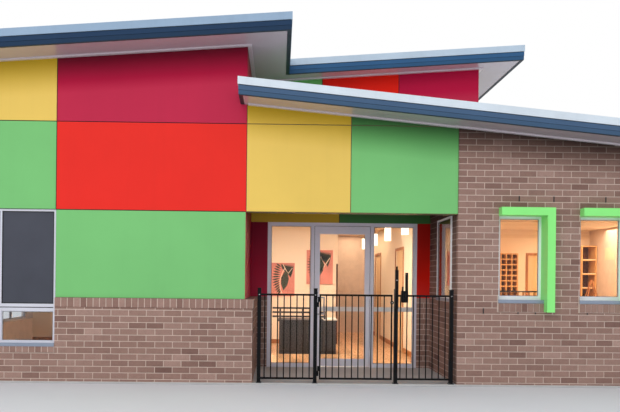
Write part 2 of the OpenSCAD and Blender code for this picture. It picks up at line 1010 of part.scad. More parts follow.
module wing_window_frames() {
    color(silver) {
        for (p = shroud_places)
            at_place(p)
                translate([0, wing_frame_set, 0])
                    frame_ring(p[3], window_sill, window_head, wing_frame_w, frame_d);
        for (p = plain_places)
            at_place(p)
                translate([0, -plain_frame_out, 0])
                    frame_ring(p[3], window_sill, window_head, plain_frame_w, frame_d);
    }
}

// Upside-down L between two depths: over a window's head and down its right side
module shroud_part(w, y, thick, foot) {
    translate([0, y[1], 0])
        rotate([90, 0, 0])
            linear_extrude(y[1] - y[0])
                polygon([
                    [0, window_head - shroud_lining],
                    [w - shroud_lining, window_head - shroud_lining],
                    [w - shroud_lining, foot],
                    [w - shroud_lining + thick, foot],
                    [w - shroud_lining + thick, window_head - shroud_lining + thick],
                    [0, window_head - shroud_lining + thick]
                ]);
}

// Green shroud in front of the wall, with its lining inside the opening
module window_shrouds() {
    color([0.45, 0.88, 0.42])
        for (p = shroud_places)
            at_place(p)
                union() {
                    shroud_part(p[3], [-shroud_d, 0], shroud_t, window_sill - shroud_drop);
                    shroud_part(p[3], [-eps, wing_frame_set], shroud_lining, window_sill);
                }
}

// Folded sheet under a window, out of the opening and down over its edge
module flashing(w, out, back, sill) {
    union() {
        block([0, w], [-out, back], [sill, sill + flashing_t]);
        block([0, w], [-out, flashing_t - out], [sill + flashing_t - flashing_lip, sill + flashing_t]);
    }
}

module sill_flashings() {
    color(zinc * 0.8) {
        for (p = band_places)
            at_place(p)
                flashing(band_w, flashing_out, frame_set, band_sill);
        for (p = shroud_places)
            at_place(p)
                flashing(p[3] - shroud_lining, flashing_out, wing_frame_set, window_sill);
        for (p = plain_places)
            at_place(p)
                flashing(p[3], plain_frame_out + flashing_out / 2, -plain_frame_out, window_sill);
    }
}

module window_glass() {
    color([0.6, 0.7, 0.75, 0.4]) {
        for (p = band_places)
            at_place(p)
                translate([0, frame_set + frame_d / 2, 0])
                    for (i = [0 : band_lights - 1]) {
                        glass_light(i, [band_sill + frame_w, band_transom - transom_half]);
                        glass_light(i, [band_transom + transom_half, row2_z - frame_w]);
                    }
        for (p = shroud_places)
            at_place(p)
                wing_glass(p[3], wing_frame_w, wing_frame_set + glass_set);
        for (p = plain_places)
            at_place(p)
                wing_glass(p[3], plain_frame_w, glass_set - plain_frame_out);
    }
}

module wing_glass(w, face, y) {
    block([face, w - face], [y, y + glass_t], [window_sill + face, window_head - face]);
}

module glass_light(i, z) {
    block([frame_w + i * light_w, i * light_w + light_w], [0, glass_t], z);
}

// Glazed screen of the entry
module screen_frame() {
    color(silver)
        translate([entry_x + screen_x, setback_y, 0])
            difference() {
                block([0, screen_right_x - entry_x - screen_x], [0, screen_d], [slab_t, head_z]);
                block([screen_w, screen_w + sidelight_w], [-eps, screen_d + eps],
                    [slab_t + screen_w, head_z - screen_w]);
                block([door_x - entry_x - screen_x, door_end_x - entry_x - screen_x], [-eps, screen_d + eps],
                    [0, head_z - screen_w]);
                block([door_end_x - entry_x - screen_x + screen_w,
                    screen_right_x - entry_x - screen_x - screen_w],
                    [-eps, screen_d + eps], [slab_t + screen_w, head_z - screen_w]);
            }
}

module screen_glass() {
    color([0.6, 0.7, 0.75, 0.4])
        for (x = [entry_x + screen_x + screen_w, door_end_x + screen_w])
            block([x, x + sidelight_w], [setback_y + screen_d / 2, setback_y + screen_d / 2 + glass_t],
                [slab_t + screen_w, head_z - screen_w]);
}

// Door: its leaf swings out about an axis in front of the right jamb
leaf_x = door_x + leaf_gap;
leaf_end_x = door_end_x - leaf_gap;
leaf_y = setback_y + leaf_set;
leaf_z = slab_t + leaf_rise;
leaf_top = head_z - screen_w - leaf_gap;
door_axis_x = door_end_x - leaf_gap / 2;
door_axis_y = setback_y - knuckle_r - 2;
door_hinge_zs = [leaf_z + hinge_low, (leaf_z + leaf_top) / 2, leaf_top - hinge_high];

module door_leaf() {
    color(silver)
        union() {
            difference() {
                block([leaf_x, leaf_end_x], [leaf_y, leaf_y + leaf_t], [leaf_z, leaf_top]);
                block([leaf_x + stile_w, leaf_end_x - stile_w], [leaf_y - eps, leaf_y + leaf_t + eps],
                    [leaf_z + door_rail, leaf_top - door_rail]);
            }
            for (z = door_hinge_zs)
                difference() {
                    union() {
                        translate([door_axis_x, door_axis_y, z])
                            cylinder(h = knuckle_h, r = knuckle_r, $fn = 32);
                        block([door_axis_x - plate_w, door_axis_x],
                            [door_axis_y + knuckle_r - plate_t, leaf_y], [z, z + knuckle_h]);
                    }
                    translate([door_axis_x, door_axis_y, z - eps])
                        cylinder(h = knuckle_h + 2 * eps, r = pin_r + pin_fit, $fn = 32);
                }
        }
}

// The fixed halves of the door's hinges, with their pins
module door_hinges() {
    color(silver)
        for (z = door_hinge_zs) {
            translate([door_axis_x, door_axis_y, z - knuckle_h - 1])
                cylinder(h = knuckle_h, r = knuckle_r, $fn = 32);
            translate([door_axis_x, door_axis_y, z - 1 - eps])
                cylinder(h = knuckle_h + eps, r = pin_r, $fn = 32);
            block([door_axis_x, door_axis_x + plate_w], [door_axis_y + knuckle_r - plate_t, setback_y],
                [z - knuckle_h - 1, z - 1]);
        }
}

module door_glass() {
    color([0.6, 0.7, 0.75, 0.4])
        block([leaf_x + stile_w, leaf_end_x - stile_w],
            [leaf_y + (leaf_t - glass_t) / 2, leaf_y + (leaf_t + glass_t) / 2],
            [leaf_z + door_rail, leaf_top - door_rail]);
}

// D-shaped pull that reaches from the stile over the glass
module door_pull() {
    color(silver)
        translate([leaf_x + stile_w / 2, leaf_y, pull_z])
            union() {
                for (z = [0, pull_h])
                    translate([0, 0, z]) {
                        rotate([90, 0, 0])
                            cylinder(h = pull_out, d = pull_bar, $fn = 24);
                        translate([0, -pull_out, 0])
                            sphere(d = pull_bar, $fn = 24);
                        translate([0, -pull_out, 0])
                            rotate([0, 90, 0])
                                cylinder(h = pull_reach, d = pull_bar, $fn = 24);
                        translate([pull_reach, -pull_out, 0])
                            sphere(d = pull_bar, $fn = 24);
                    }
                translate([pull_reach, -pull_out, 0])
                    cylinder(h = pull_h, d = pull_bar, $fn = 24);
            }
}

// Fence across the entry
fence_y = front_y + fence_set;
post_xs = [
    entry_x + post_first,
    entry_x + post_first + post_second,
    entry_x + post_first + post_second + post_gate,
    wing_x - post_last
];
rail_low = slab_t + rail_gap;
gate_hinge_zs = [gate_hinge_low, gate_hinge_high];
hinge_arm = 16;
knuckle_gap = 1;
bar_end = 4;
gate_axis_x = post_xs[1] + post_w / 2 + hinge_gap / 2;
gate_x = post_xs[1] + post_w / 2 + hinge_gap;
gate_end_x = post_xs[2] - post_w / 2 - latch_gap;

// Flat square cap of a post
module post_cap() {
    linear_extrude(post_cap_t)
        square(post_w + 2 * post_cap_out, center = true);
}

module fence_posts() {
    color(black) {
        for (x = post_xs) {
            block([x - post_w / 2, x + post_w / 2], [fence_y - post_w / 2, fence_y + post_w / 2],
                [slab_t, post_h - post_cap_t]);
            translate([x, fence_y, post_h - post_cap_t])
                post_cap();
            block([x - base_w / 2, x + base_w / 2], [fence_y - base_w / 2, fence_y + base_w / 2],
                [slab_t, slab_t + base_t]);
        }
        for (z = gate_hinge_zs) {
            block([post_xs[1] + post_w / 2 - eps, gate_axis_x],
                [fence_y - hinge_arm / 2, fence_y + hinge_arm / 2], [z - gate_hinge_h, z]);
            translate([gate_axis_x, fence_y, z - gate_hinge_h])
                cylinder(h = gate_hinge_h, r = gate_hinge_r, $fn = 32);
            translate([gate_axis_x, fence_y, z - eps])
                cylinder(h = gate_hinge_h + eps, r = gate_pin_r, $fn = 32);
        }
    }
}

// Rails and bars between two places, with the first bar's distance
module bar_panel(x1, x2, first) {
    for (z = [rail_low, rail_top - rail_h])
        block([x1, x2], [fence_y - rail_t / 2, fence_y + rail_t / 2], [z, z + rail_h]);
    for (i = [0 : floor((x2 - x1 - first - 2 * bar_d) / bar_spacing)])
        translate([x1 + first + i * bar_spacing, fence_y, rail_low + bar_end])
            cylinder(h = rail_top - rail_low - 2 * bar_end, d = bar_d, $fn = 16);
}

module fence_panels() {
    color(black) {
        bar_panel(post_xs[0] + post_w / 2, post_xs[1] - post_w / 2, left_bar);
        bar_panel(post_xs[2] + post_w / 2, post_xs[3] - post_w / 2, right_bar);
    }
}

keeper_z = 1141;
keeper_h = 24;
keeper_r = 23;

module gate() {
    color(black)
        union() {
            bar_panel(gate_x + gate_stile / 2, gate_end_x - gate_stile / 2, gate_bar);
            for (x = [gate_x, gate_end_x - gate_stile])
                block([x, x + gate_stile], [fence_y - gate_stile / 2, fence_y + gate_stile / 2],
                    [rail_low, rail_top]);
            for (z = gate_hinge_zs)
                difference() {
                    union() {
                        translate([gate_axis_x, fence_y, z + knuckle_gap])
                            cylinder(h = gate_hinge_h, r = gate_hinge_r, $fn = 32);
                        block([gate_axis_x, gate_x + eps], [fence_y - hinge_arm / 2, fence_y + hinge_arm / 2],
                            [z + knuckle_gap, z + knuckle_gap + gate_hinge_h]);
                    }
                    translate([gate_axis_x, fence_y, z])
                        cylinder(h = gate_hinge_h + 2 * knuckle_gap, r = gate_pin_r + pin_fit, $fn = 32);
                }
            translate([gate_end_x - gate_stile / 2, fence_y - gate_stile / 2 + eps, keeper_z])
                rotate([90, 0, 0])
                    cylinder(h = keeper_h, r = keeper_r, $fn = 32);
        }
}

knob_h = 46;
knob_r = 13;
key_knob_h = 60;
key_knob_r = 13;
key_knob_x = 19;

// Top-pull latch on the third post, and the lock box beside it
module gate_lock() {
    post_face = fence_y - post_w / 2;
    tower_face = post_face - post_cap_out - latch_d;
    color(black) {
        union() {
            block([post_xs[2] - latch_w / 2, post_xs[2] + latch_w / 2],
                [tower_face, post_face - post_cap_out], [latch_low, latch_high]);
            block([post_xs[2] - latch_w / 2, post_xs[2] + latch_w / 2], [tower_face + eps, post_face],
                [latch_low, post_h - post_cap_t]);
            translate([post_xs[2], tower_face + latch_d / 2, latch_high - eps])
                cylinder(h = knob_h, r = knob_r, $fn = 32);
        }
        translate([post_xs[2] + lock_x, fence_y - rail_t / 2 - lock_d, lock_z])
            union() {
                cube([lock_w, lock_d, lock_h]);
                translate([lock_w - lock_post_w, (lock_d - lock_post_w) / 2, lock_h - eps])
                    cube([lock_post_w, lock_post_w, lock_post_z - lock_z - lock_h + eps]);
                translate([key_knob_x, lock_d / 2, lock_h - eps])
                    cylinder(h = key_knob_h, r = key_knob_r, $fn = 32);
            }
    }
}

// Inner walls: the one that carries the pictures, and those between the lobby and the wing
lobby_door_ys = [front_y + lobby_door_near, front_y + lobby_door_far];
wing_door_x = entry_x + wing_door;

module inner_walls() {
    color(cream) {
        block([left_x + wall_t, entry_x + picture_wall_x],
            [front_y + picture_wall_y, front_y + picture_wall_y + inner_t], [floor_z, ceiling_z]);
        difference() {
            union() {
                block([wing_x, wing_x + inner_t], [setback_y + wall_t, rear_y - wall_t], [slab_t, ceiling_z]);
                block([wing_x + inner_t - eps, right_x - wall_t],
                    [front_y + wing_wall_y, front_y + wing_wall_y + inner_t], [slab_t, ceiling_z]);
            }
            for (y = lobby_door_ys)
                block([wing_x - eps, wing_x + inner_t + eps], [y, y + inner_door_w],
                    [0, slab_t + inner_door_h]);
            block([wing_door_x, wing_door_x + inner_door_w],
                [front_y + wing_wall_y - eps, front_y + wing_wall_y + inner_t + eps],
                [0, slab_t + inner_door_h]);
        }
    }
}

module inner_doors() {
    color(timber) {
        for (y = lobby_door_ys)
            block([wing_x + inner_door_set, wing_x + inner_door_set + inner_door_t], [y, y + inner_door_w],
                [slab_t, slab_t + inner_door_h]);
        translate([0, front_y + wing_wall_y + inner_door_set, 0])
            block([wing_door_x, wing_door_x + inner_door_w], [0, inner_door_t],
                [slab_t, slab_t + inner_door_h]);
    }
}

// Two canvases on the picture wall
module wall_pictures() {
    color([0.90, 0.50, 0.42])
        translate([entry_x, front_y + picture_wall_y, 0]) {
            block([picture1_x, picture1_x + picture1_w], [-picture_t, 0],
                [picture1_z, picture1_z + picture1_h]);
            block([picture2_x, picture2_x + picture2_w], [-picture_t, 0],
                [picture2_z, picture2_z + picture2_h]);
        }
}

desk_lip = 20;
slats_x = desk_w - slat_end - slat_w;
slat_posts = [desk_lip, (desk_w - slat_end) / 2, desk_w - slat_end - slat_h];
batten_count = floor((desk_w - 2 * desk_lip + batten_gap) / (batten_w + batten_gap));
batten_first = (desk_w - batten_count * (batten_w + batten_gap) + batten_gap) / 2;

module reception_desk() {
    color([0.22, 0.22, 0.24])
        translate([entry_x + desk_x - desk_w, front_y + desk_y, floor_z])
            union() {
                block([desk_lip, desk_w - desk_lip], [desk_lip, desk_d - desk_lip], [0, desk_h - desk_top_t]);
                block([0, desk_w], [0, desk_d], [desk_h - desk_top_t, desk_h]);
                for (i = [0 : batten_count - 1])
                    translate([batten_first + i * (batten_w + batten_gap), desk_lip - batten_t, desk_foot])
                        cube([batten_w, batten_t + eps, desk_h - desk_top_t + eps - desk_foot]);
                for (i = [1 : slat_count])
                    block([slats_x, slats_x + slat_w], [desk_lip, desk_lip + slat_t],
                        [desk_h + i * slat_spacing - slat_h, desk_h + i * slat_spacing]);
                for (x = slat_posts)
                    block([x, x + slat_h], [desk_lip + slat_t - eps, desk_lip + 2 * slat_t],
                        [desk_h - eps, desk_h + slat_count * slat_spacing - eps]);
            }
}

module pendant_lamps() {
    color([1.0, 0.93, 0.8])
        for (i = [0 : lamp_count - 1])
            translate([entry_x + lamp_x, front_y + lamp_y + i * lamp_spacing, 0]) {
                translate([0, 0, lamp_z - lamp_h / 2])
                    cylinder(h = lamp_h, d = lamp_d, $fn = 24);
                translate([0, 0, lamp_z])
                    cylinder(h = ceiling_z - lamp_z, d = stem_d, $fn = 24);
                translate([0, 0, ceiling_z - rose_h])
                    cylinder(h = rose_h, d = rose_d, $fn = 24);
            }
}

floor_slab();
timber_floor();
brick_plinth();
brick_cappings();
left_front_wall();
left_side_wall();
rear_wall();
wing_front_wall();
wing_side_wall();
entry_side_wall();
entry_return_wall();
entry_left_pier();
entry_right_pier();
set_back_wall();
high_end_wall();
entry_bulkhead();
porch_ceiling();
flat_ceiling();
upper_roof();
lower_roof();
upper_soffit();
lower_soffit();
barge_boards();
edge_cappings();
yellow_panels();
green_panels();
red_panels();
crimson_panels();
band_window_frames();
insect_screens();
wing_window_frames();
window_shrouds();
window_glass();
sill_flashings();
screen_frame();
screen_glass();
fence_posts();
fence_panels();
gate_lock();
inner_walls();
inner_doors();
wall_pictures();
reception_desk();
pendant_lamps();
door_hinges();
gate();
door_leaf();
door_glass();
door_pull();
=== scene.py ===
"""Bricks, roof ribs, glazing trims, fittings, finishes, light and camera for the school building's frame."""

import math
import random
from functools import partial

import bpy
from mathutils import Matrix, Vector


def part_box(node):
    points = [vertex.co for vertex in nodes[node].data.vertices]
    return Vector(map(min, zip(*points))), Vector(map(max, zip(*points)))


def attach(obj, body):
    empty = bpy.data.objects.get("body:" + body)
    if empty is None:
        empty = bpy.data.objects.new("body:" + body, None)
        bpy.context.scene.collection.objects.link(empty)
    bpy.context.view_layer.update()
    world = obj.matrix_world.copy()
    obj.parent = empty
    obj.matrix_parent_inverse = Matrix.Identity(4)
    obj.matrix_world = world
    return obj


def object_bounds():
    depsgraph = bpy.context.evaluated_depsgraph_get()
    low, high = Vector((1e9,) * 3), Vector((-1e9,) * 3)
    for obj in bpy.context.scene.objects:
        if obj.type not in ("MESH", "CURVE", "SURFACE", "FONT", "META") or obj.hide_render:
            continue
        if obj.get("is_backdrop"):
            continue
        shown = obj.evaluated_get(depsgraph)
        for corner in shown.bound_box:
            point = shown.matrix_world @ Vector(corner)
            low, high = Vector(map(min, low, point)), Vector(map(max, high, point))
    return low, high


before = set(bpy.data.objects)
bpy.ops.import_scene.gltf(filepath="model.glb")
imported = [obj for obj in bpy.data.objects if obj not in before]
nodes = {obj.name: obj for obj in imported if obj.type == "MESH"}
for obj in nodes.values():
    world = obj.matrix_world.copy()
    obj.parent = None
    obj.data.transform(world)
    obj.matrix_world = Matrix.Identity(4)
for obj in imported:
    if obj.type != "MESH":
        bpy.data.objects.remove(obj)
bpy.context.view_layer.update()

# ---- the building's own lines, in metres
LEFT_X, BAY_X, ENTRY_X, WING_X, HIGH_X, RIGHT_X = -6.550, -3.960, -1.370, 1.548, 2.320, 6.550
FRONT_Y, SETBACK_Y, REAR_Y = -4.500, -2.810, 4.500
DEPTH, PORCH_DEPTH = REAR_Y - FRONT_Y, SETBACK_Y - FRONT_Y
SLAB_Z, PLINTH_Z, ROW2_Z, PORCH_Z, CEILING_Z, FLOOR_Z = 0.025, 1.165, 2.368, 2.700, 2.650, 0.037
WALL = 0.250
CAP_H, CAP_OUT = 0.120, 0.012
PLINTH_OUT = 0.100
SCREEN_LEFT_X, DOOR_X, DOOR_END_X, SCREEN_RIGHT_X = -1.100, -0.340, 0.575, 1.335
SCREEN_BAR, SIDELIGHT_W = 0.050, 0.660
BAND_FRAME_W, BAND_FRAME_SET, FRAME_D = 0.028, 0.030, 0.060
WING_FRAME_W, WING_FRAME_SET, PLAIN_FRAME_W, PLAIN_FRAME_OUT, GLASS_SET = 0.050, 0.100, 0.024, 0.025, 0.014
WINDOW_W, SILL_Z, HEAD_Z = 0.650, 1.195, 2.375
BAND_W, BAND_SILL_Z, BAND_TRANSOM_Z, BAND_LIGHTS = 2.230, 0.540, 1.028, 3
TRANSOM_HALF, TRANSOM_GAP = 0.050, 0.012
ROOF_T, SOFFIT_T, PANEL_SET = 0.212, 0.010, 0.010
LINE = ROOF_T + SOFFIT_T
UPPER_REF_Z, UPPER_SLOPE = 4.858, math.tan(math.radians(4.35))
LOWER_REF_Z, LOWER_SLOPE = 4.056, math.tan(math.radians(5.4))
EAVE, FRONT_EAVE, HIGH_END, STEP_OUT, STEP_FRONT, LOW_LAP = 0.50, 0.47, 0.62, 0.60, 0.35, 0.104
PICTURE_WALL_Y, WING_WALL_Y = 1.000, 1.700
INNER_DOOR_YS, INNER_DOOR_W = (FRONT_Y + 4.0, FRONT_Y + 6.9), 0.82
FENCE_Y = -4.460
POST_XS = (-1.176, -0.404, 0.706, 1.472)


def upper_top(x):
    return UPPER_REF_Z + (x - ENTRY_X) * UPPER_SLOPE


def lower_top(x):
    return LOWER_REF_Z - (x - ENTRY_X) * LOWER_SLOPE


def at(x, y, turn):
    """Place on a wall: local X runs along it, local Y into it and local Z up."""
    return Matrix.Translation((x, y, 0)) @ Matrix.Rotation(math.radians(turn), 4, "Z")


def loop(count):
    """Each number of a closed ring with the one after it."""
    return [(i, (i + 1) % count) for i in range(count)]


def show(name, data):
    """A new object in the scene."""
    made = bpy.data.objects.new(name, data)
    bpy.context.scene.collection.objects.link(made)
    return made


# ---- many small solids in one mesh
class Heap:
    """Collects closed solids and turns them into one piece."""

    def __init__(self):
        self.points, self.faces, self.tones = [], [], []

    def add(self, points, faces, place=None, tone=0.5):
        start = len(self.points)
        self.points += [place @ Vector(p) if place else Vector(p) for p in points]
        self.faces += [tuple(start + i for i in f) for f in faces]
        self.tones += [tone] * len(points)
        return self

    def block(self, x, y, z, place=None, tone=0.5):
        points = [(a, b, c) for c in z for b in y for a in x]
        faces = [(0, 2, 3, 1), (4, 5, 7, 6), (0, 1, 5, 4), (1, 3, 7, 5), (3, 2, 6, 7), (2, 0, 4, 6)]
        return self.add(points, faces, place, tone)

    def brick(self, x, y, z, place, tone, heads=None):
        """A brick with worn edges round its front face, at the lower y. heads: its two heights where cut."""
        worn = 0.0015
        left, right = heads or (z[1], z[1])
        back = [(x[0], y[1], z[0]), (x[1], y[1], z[0]), (x[1], y[1], right), (x[0], y[1], left)]
        ring = [(px, y[0] + worn, pz) for px, _, pz in back]
        face = [(x[0] + worn, y[0], z[0] + worn), (x[1] - worn, y[0], z[0] + worn),
                (x[1] - worn, y[0], right - worn), (x[0] + worn, y[0], left - worn)]
        faces = [(3, 2, 1, 0), (8, 9, 10, 11)]
        for i, j in loop(4):
            faces += [(i, j, 4 + j, 4 + i), (4 + i, 4 + j, 8 + j, 8 + i)]
        return self.add(back + ring + face, faces, place, tone)

    def rod(self, start, end, radius, sides=12, radius2=None):
        """A round rod with flat ends between two points. radius2: its radius at the end, if that differs."""
        a, b = Vector(start), Vector(end)
        along = (b - a).normalized()
        side = along.orthogonal().normalized()
        across = along.cross(side)
        points = []
        for centre, r in ((a, radius), (b, radius2 or radius)):
            for i in range(sides):
                t = 2 * math.pi * i / sides
                points.append(centre + (side * math.cos(t) + across * math.sin(t)) * r)
        faces = [(i, j, sides + j, sides + i) for i, j in loop(sides)]
        return self.add(points, faces + [tuple(reversed(range(sides))), tuple(range(sides, 2 * sides))])

    def ring(self, x, z, width, y, place=None):
        """Four bars round an opening's inner edge."""
        inner = (z[0] + width, z[1] - width)
        self.block(x, y, (z[0], inner[0]), place)
        self.block(x, y, (inner[1], z[1]), place)
        self.block((x[0], x[0] + width), y, inner, place)
        return self.block((x[1] - width, x[1]), y, inner, place)

    def between(self, points):
        """A solid between two like outlines, given one after the other."""
        n = len(points) // 2
        faces = [tuple(range(n)), tuple(reversed(range(n, 2 * n)))]
        return self.add(points, faces + [(i, n + i, n + j, j) for i, j in loop(n)])

    def prism(self, outline, y):
        """A flat outline in XZ, counter-clockwise seen from the front, given a depth along Y."""
        return self.between([(x, side, z) for side in y for x, z in outline])

    def piece(self, name, finish, body="building", slot=None, smooth=False):
        mesh = bpy.data.meshes.new(name)
        mesh.from_pydata([tuple(p) for p in self.points], [], self.faces)
        tone = mesh.attributes.new("tone", "FLOAT", "POINT")
        tone.data.foreach_set("value", self.tones)
        if smooth:
            mesh.shade_smooth()
            mesh.set_sharp_from_angle(angle=math.radians(35))
        mesh.materials.append(FINISH[finish])
        mesh.update()
        made = show(name, mesh)
        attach(made, body)


# ---- nodes
def node(tree, kind, feeds=None, **settings):
    """A node with its settings, and its inputs fed by sockets or values."""
    made = tree.nodes.new(kind)
    for key, value in settings.items():
        setattr(made, key, value)
    for key, value in (feeds or {}).items():
        if isinstance(value, bpy.types.NodeSocket):
            tree.links.new(value, made.inputs[key])
        else:
            made.inputs[key].default_value = value
    return made


def maths(tree, operation, *values, clamp=False):
    """One Math node's result."""
    feeds = dict(enumerate(values))
    return node(tree, "ShaderNodeMath", feeds, operation=operation, use_clamp=clamp).outputs[0]


def mix(tree, factor, first, second, blend="MIX"):
    """Two colours in one."""
    feeds = {"Factor": factor, 6: first, 7: second}
    return node(tree, "ShaderNodeMix", feeds, data_type="RGBA", blend_type=blend).outputs[2]


def ranged(tree, value, low, high, to_low=0.0, to_high=1.0):
    """A value taken from one range to another and kept in it."""
    feeds = {"Value": value, "From Min": low, "From Max": high, "To Min": to_low, "To Max": to_high}
    return node(tree, "ShaderNodeMapRange", feeds).outputs[0]


def spot(tree):
    """The point on the building, in metres."""
    return node(tree, "ShaderNodeTexCoord").outputs["Object"]


def spot_xyz(tree):
    return node(tree, "ShaderNodeSeparateXYZ", {0: spot(tree)}).outputs


def mapped(tree, **feeds):
    return node(tree, "ShaderNodeMapping", {"Vector": spot(tree), **feeds}).outputs["Vector"]


def noise(tree, size, detail, stretch=(1, 1, 1), rough=0.55):
    """Noise over the building's metres, one blotch to each size."""
    scale = maths(tree, "DIVIDE", 1.0, size)
    feeds = {"Vector": mapped(tree, Scale=stretch), "Scale": scale, "Detail": detail, "Roughness": rough}
    return node(tree, "ShaderNodeTexNoise", feeds).outputs["Fac"]


def shaded(tree, color, value, saturation=1.0):
    feeds = {"Value": value, "Saturation": saturation, "Color": color}
    return node(tree, "ShaderNodeHueSaturation", feeds).outputs[0]


def use(tree, group, feeds):
    """The outputs of one of the shared effects."""
    return node(tree, "ShaderNodeGroup", feeds, node_tree=group).outputs


# ---- effects shared by the materials
WHITE = (1, 1, 1, 1)


def effect(name, inputs, outputs):
    """Makes a shader node group with named sockets of the wiring function that follows."""
    def build(wire):
        tree = bpy.data.node_groups.new(name, "ShaderNodeTree")
        for label, start in inputs.items():
            kind = "NodeSocketFloat" if isinstance(start, float) else "NodeSocketColor"
            tree.interface.new_socket(name=label, in_out="INPUT", socket_type=kind).default_value = start
        for label in outputs:
            kind = "NodeSocketColor" if label == "Color" else "NodeSocketFloat"
            tree.interface.new_socket(name=label, in_out="OUTPUT", socket_type=kind)
        source, sink = tree.nodes.new("NodeGroupInput"), tree.nodes.new("NodeGroupOutput")
        results = wire(tree, *(source.outputs[label] for label in inputs))
        for label, result in zip(outputs, results):
            tree.links.new(result, sink.inputs[label])
        return tree
    return build


@effect("soft_tone", {"Color": WHITE, "Size": 0.6, "Strength": 0.05}, ["Color"])
def soft_tone(tree, color, size, strength):
    spread = ranged(tree, noise(tree, size, 3.0), 0.3, 0.7, -1.0, 1.0)
    step = maths(tree, "MULTIPLY", spread, strength)
    return [shaded(tree, color, maths(tree, "ADD", step, 1.0))]


@effect("fine_grain", {"Size": 0.004, "Roughness": 0.5, "Spread": 0.1}, ["Roughness", "Height"])
def fine_grain(tree, size, roughness, spread):
    height = noise(tree, size, 4.0)
    return [maths(tree, "MULTIPLY_ADD", maths(tree, "SUBTRACT", height, 0.5), spread, roughness), height]


@effect("rain_marks", {"Color": WHITE, "Dirt": WHITE, "Width": 0.1, "Strength": 0.1}, ["Color"])
def rain_marks(tree, color, dirt, width, strength):
    streaks = ranged(tree, noise(tree, width, 5.0, (1, 1, 0.06)), 0.5, 0.75)
    return [mix(tree, maths(tree, "MULTIPLY", streaks, strength), color, dirt)]


@effect("eaves_painted_shade", {"Color": WHITE, "Reach": 0.5, "Strength": 0.7}, ["Color"])
def eaves_painted_shade(tree, color, reach, strength):
    """Painted shade: darker under the soffits, much less on what is set back, and deeper in the porch."""
    math_of = partial(maths, tree)
    x, y, z = spot_xyz(tree)
    along = math_of("SUBTRACT", x, ENTRY_X)
    high = math_of("MULTIPLY_ADD", along, UPPER_SLOPE, UPPER_REF_Z - LINE)
    low = math_of("MULTIPLY_ADD", along, -LOWER_SLOPE, LOWER_REF_Z - LINE)
    under_low = math_of("MULTIPLY", math_of("LESS_THAN", z, math_of("ADD", low, 0.02)),
                        math_of("GREATER_THAN", x, ENTRY_X - 0.001))
    top = math_of("MULTIPLY_ADD", math_of("SUBTRACT", low, high), under_low, high)
    porch = math_of("LESS_THAN", z, PORCH_Z)
    for value, operation, limit in ((y, "GREATER_THAN", FRONT_Y + 0.08), (y, "LESS_THAN", SETBACK_Y + 0.05),
                                    (x, "GREATER_THAN", ENTRY_X - 0.05), (x, "LESS_THAN", WING_X + 0.05)):
        porch = math_of("MULTIPLY", porch, math_of(operation, value, limit))
    top = math_of("MULTIPLY_ADD", math_of("SUBTRACT", PORCH_Z, top), porch, top)
    reach = math_of("MULTIPLY", reach, math_of("MULTIPLY_ADD", porch, 2.0, 1.0))
    below = math_of("DIVIDE", math_of("SUBTRACT", top, z), reach, clamp=True)
    near = math_of("POWER", math_of("SUBTRACT", 1.0, below), 1.15)
    deep = math_of("GREATER_THAN", y, SETBACK_Y - 0.2)
    set_back = math_of("MULTIPLY", deep, math_of("SUBTRACT", 1.0, porch))
    strength = math_of("MULTIPLY", strength, math_of("MULTIPLY_ADD", set_back, -0.75, 1.0))
    value = math_of("SUBTRACT", 1.0, math_of("MULTIPLY", near, strength))
    return [shaded(tree, color, value, math_of("MULTIPLY_ADD", near, 0.15, 1.0))]


@effect("roof_painted_light", {"Low Roof": WHITE, "High Front": WHITE, "High Back": WHITE}, ["Color"])
def roof_painted_light(tree, low_roof, high_front, high_back):
    """Painted light: one shade of the coat round the low roof, and two round the high one, by height and
    depth.
    """
    _, y, z = spot_xyz(tree)
    high = maths(tree, "MULTIPLY", maths(tree, "SUBTRACT", z, 4.12), 10.0, clamp=True)
    back = maths(tree, "MULTIPLY", maths(tree, "ADD", y, 4.0), 2.0, clamp=True)
    zone = maths(tree, "MULTIPLY", high, maths(tree, "MULTIPLY_ADD", back, 0.5, 0.5))
    middle = mix(tree, maths(tree, "MULTIPLY", zone, 2.0, clamp=True), low_roof, high_front)
    last = maths(tree, "SUBTRACT", maths(tree, "MULTIPLY", zone, 2.0), 1.0, clamp=True)
    return [mix(tree, last, middle, high_back)]


@effect("wood_grain", {"Light": WHITE, "Dark": WHITE, "Size": 0.05}, ["Color", "Height"])
def wood_grain(tree, light, dark, size):
    rings = noise(tree, size, 6.0, (1, 1, 0.08), 0.62)
    feeds = {"Vector": spot(tree), "Scale": 30.0, "Distortion": 9.0, "Detail": 3.0, "Detail Scale": 1.4}
    fibres = node(tree, "ShaderNodeTexWave", feeds, bands_direction="X").outputs["Fac"]
    height = maths(tree, "MULTIPLY_ADD", fibres, 0.25, rings)
    return [mix(tree, ranged(tree, height, 0.35, 0.85), light, dark), height]


# ---- finishes
FINISH = {}


def rgb(red, green, blue):
    """Linear colour of a screen colour given in 0 to 255."""
    return tuple((c / 255 / 12.92) if c < 11 else ((c / 255 + 0.055) / 1.055) ** 2.4
                 for c in (red, green, blue)) + (1,)


def dull(color, factor):
    return tuple(c * factor for c in color[:3]) + (1,)


def blank(name, **sockets):
    """A new finish's node tree and its Principled shader, with that shader's plain socket values."""
    made = FINISH[name] = bpy.data.materials.new(name)
    made.use_nodes = True
    shader = made.node_tree.nodes["Principled BSDF"]
    for key, value in sockets.items():
        shader.inputs[key.replace("_", " ")].default_value = value
    return made.node_tree, shader


def bumped(tree, shader, height, depth):
    bump = node(tree, "ShaderNodeBump", {"Height": height, "Distance": depth, "Strength": 1.0})
    tree.links.new(bump.outputs[0], shader.inputs["Normal"])


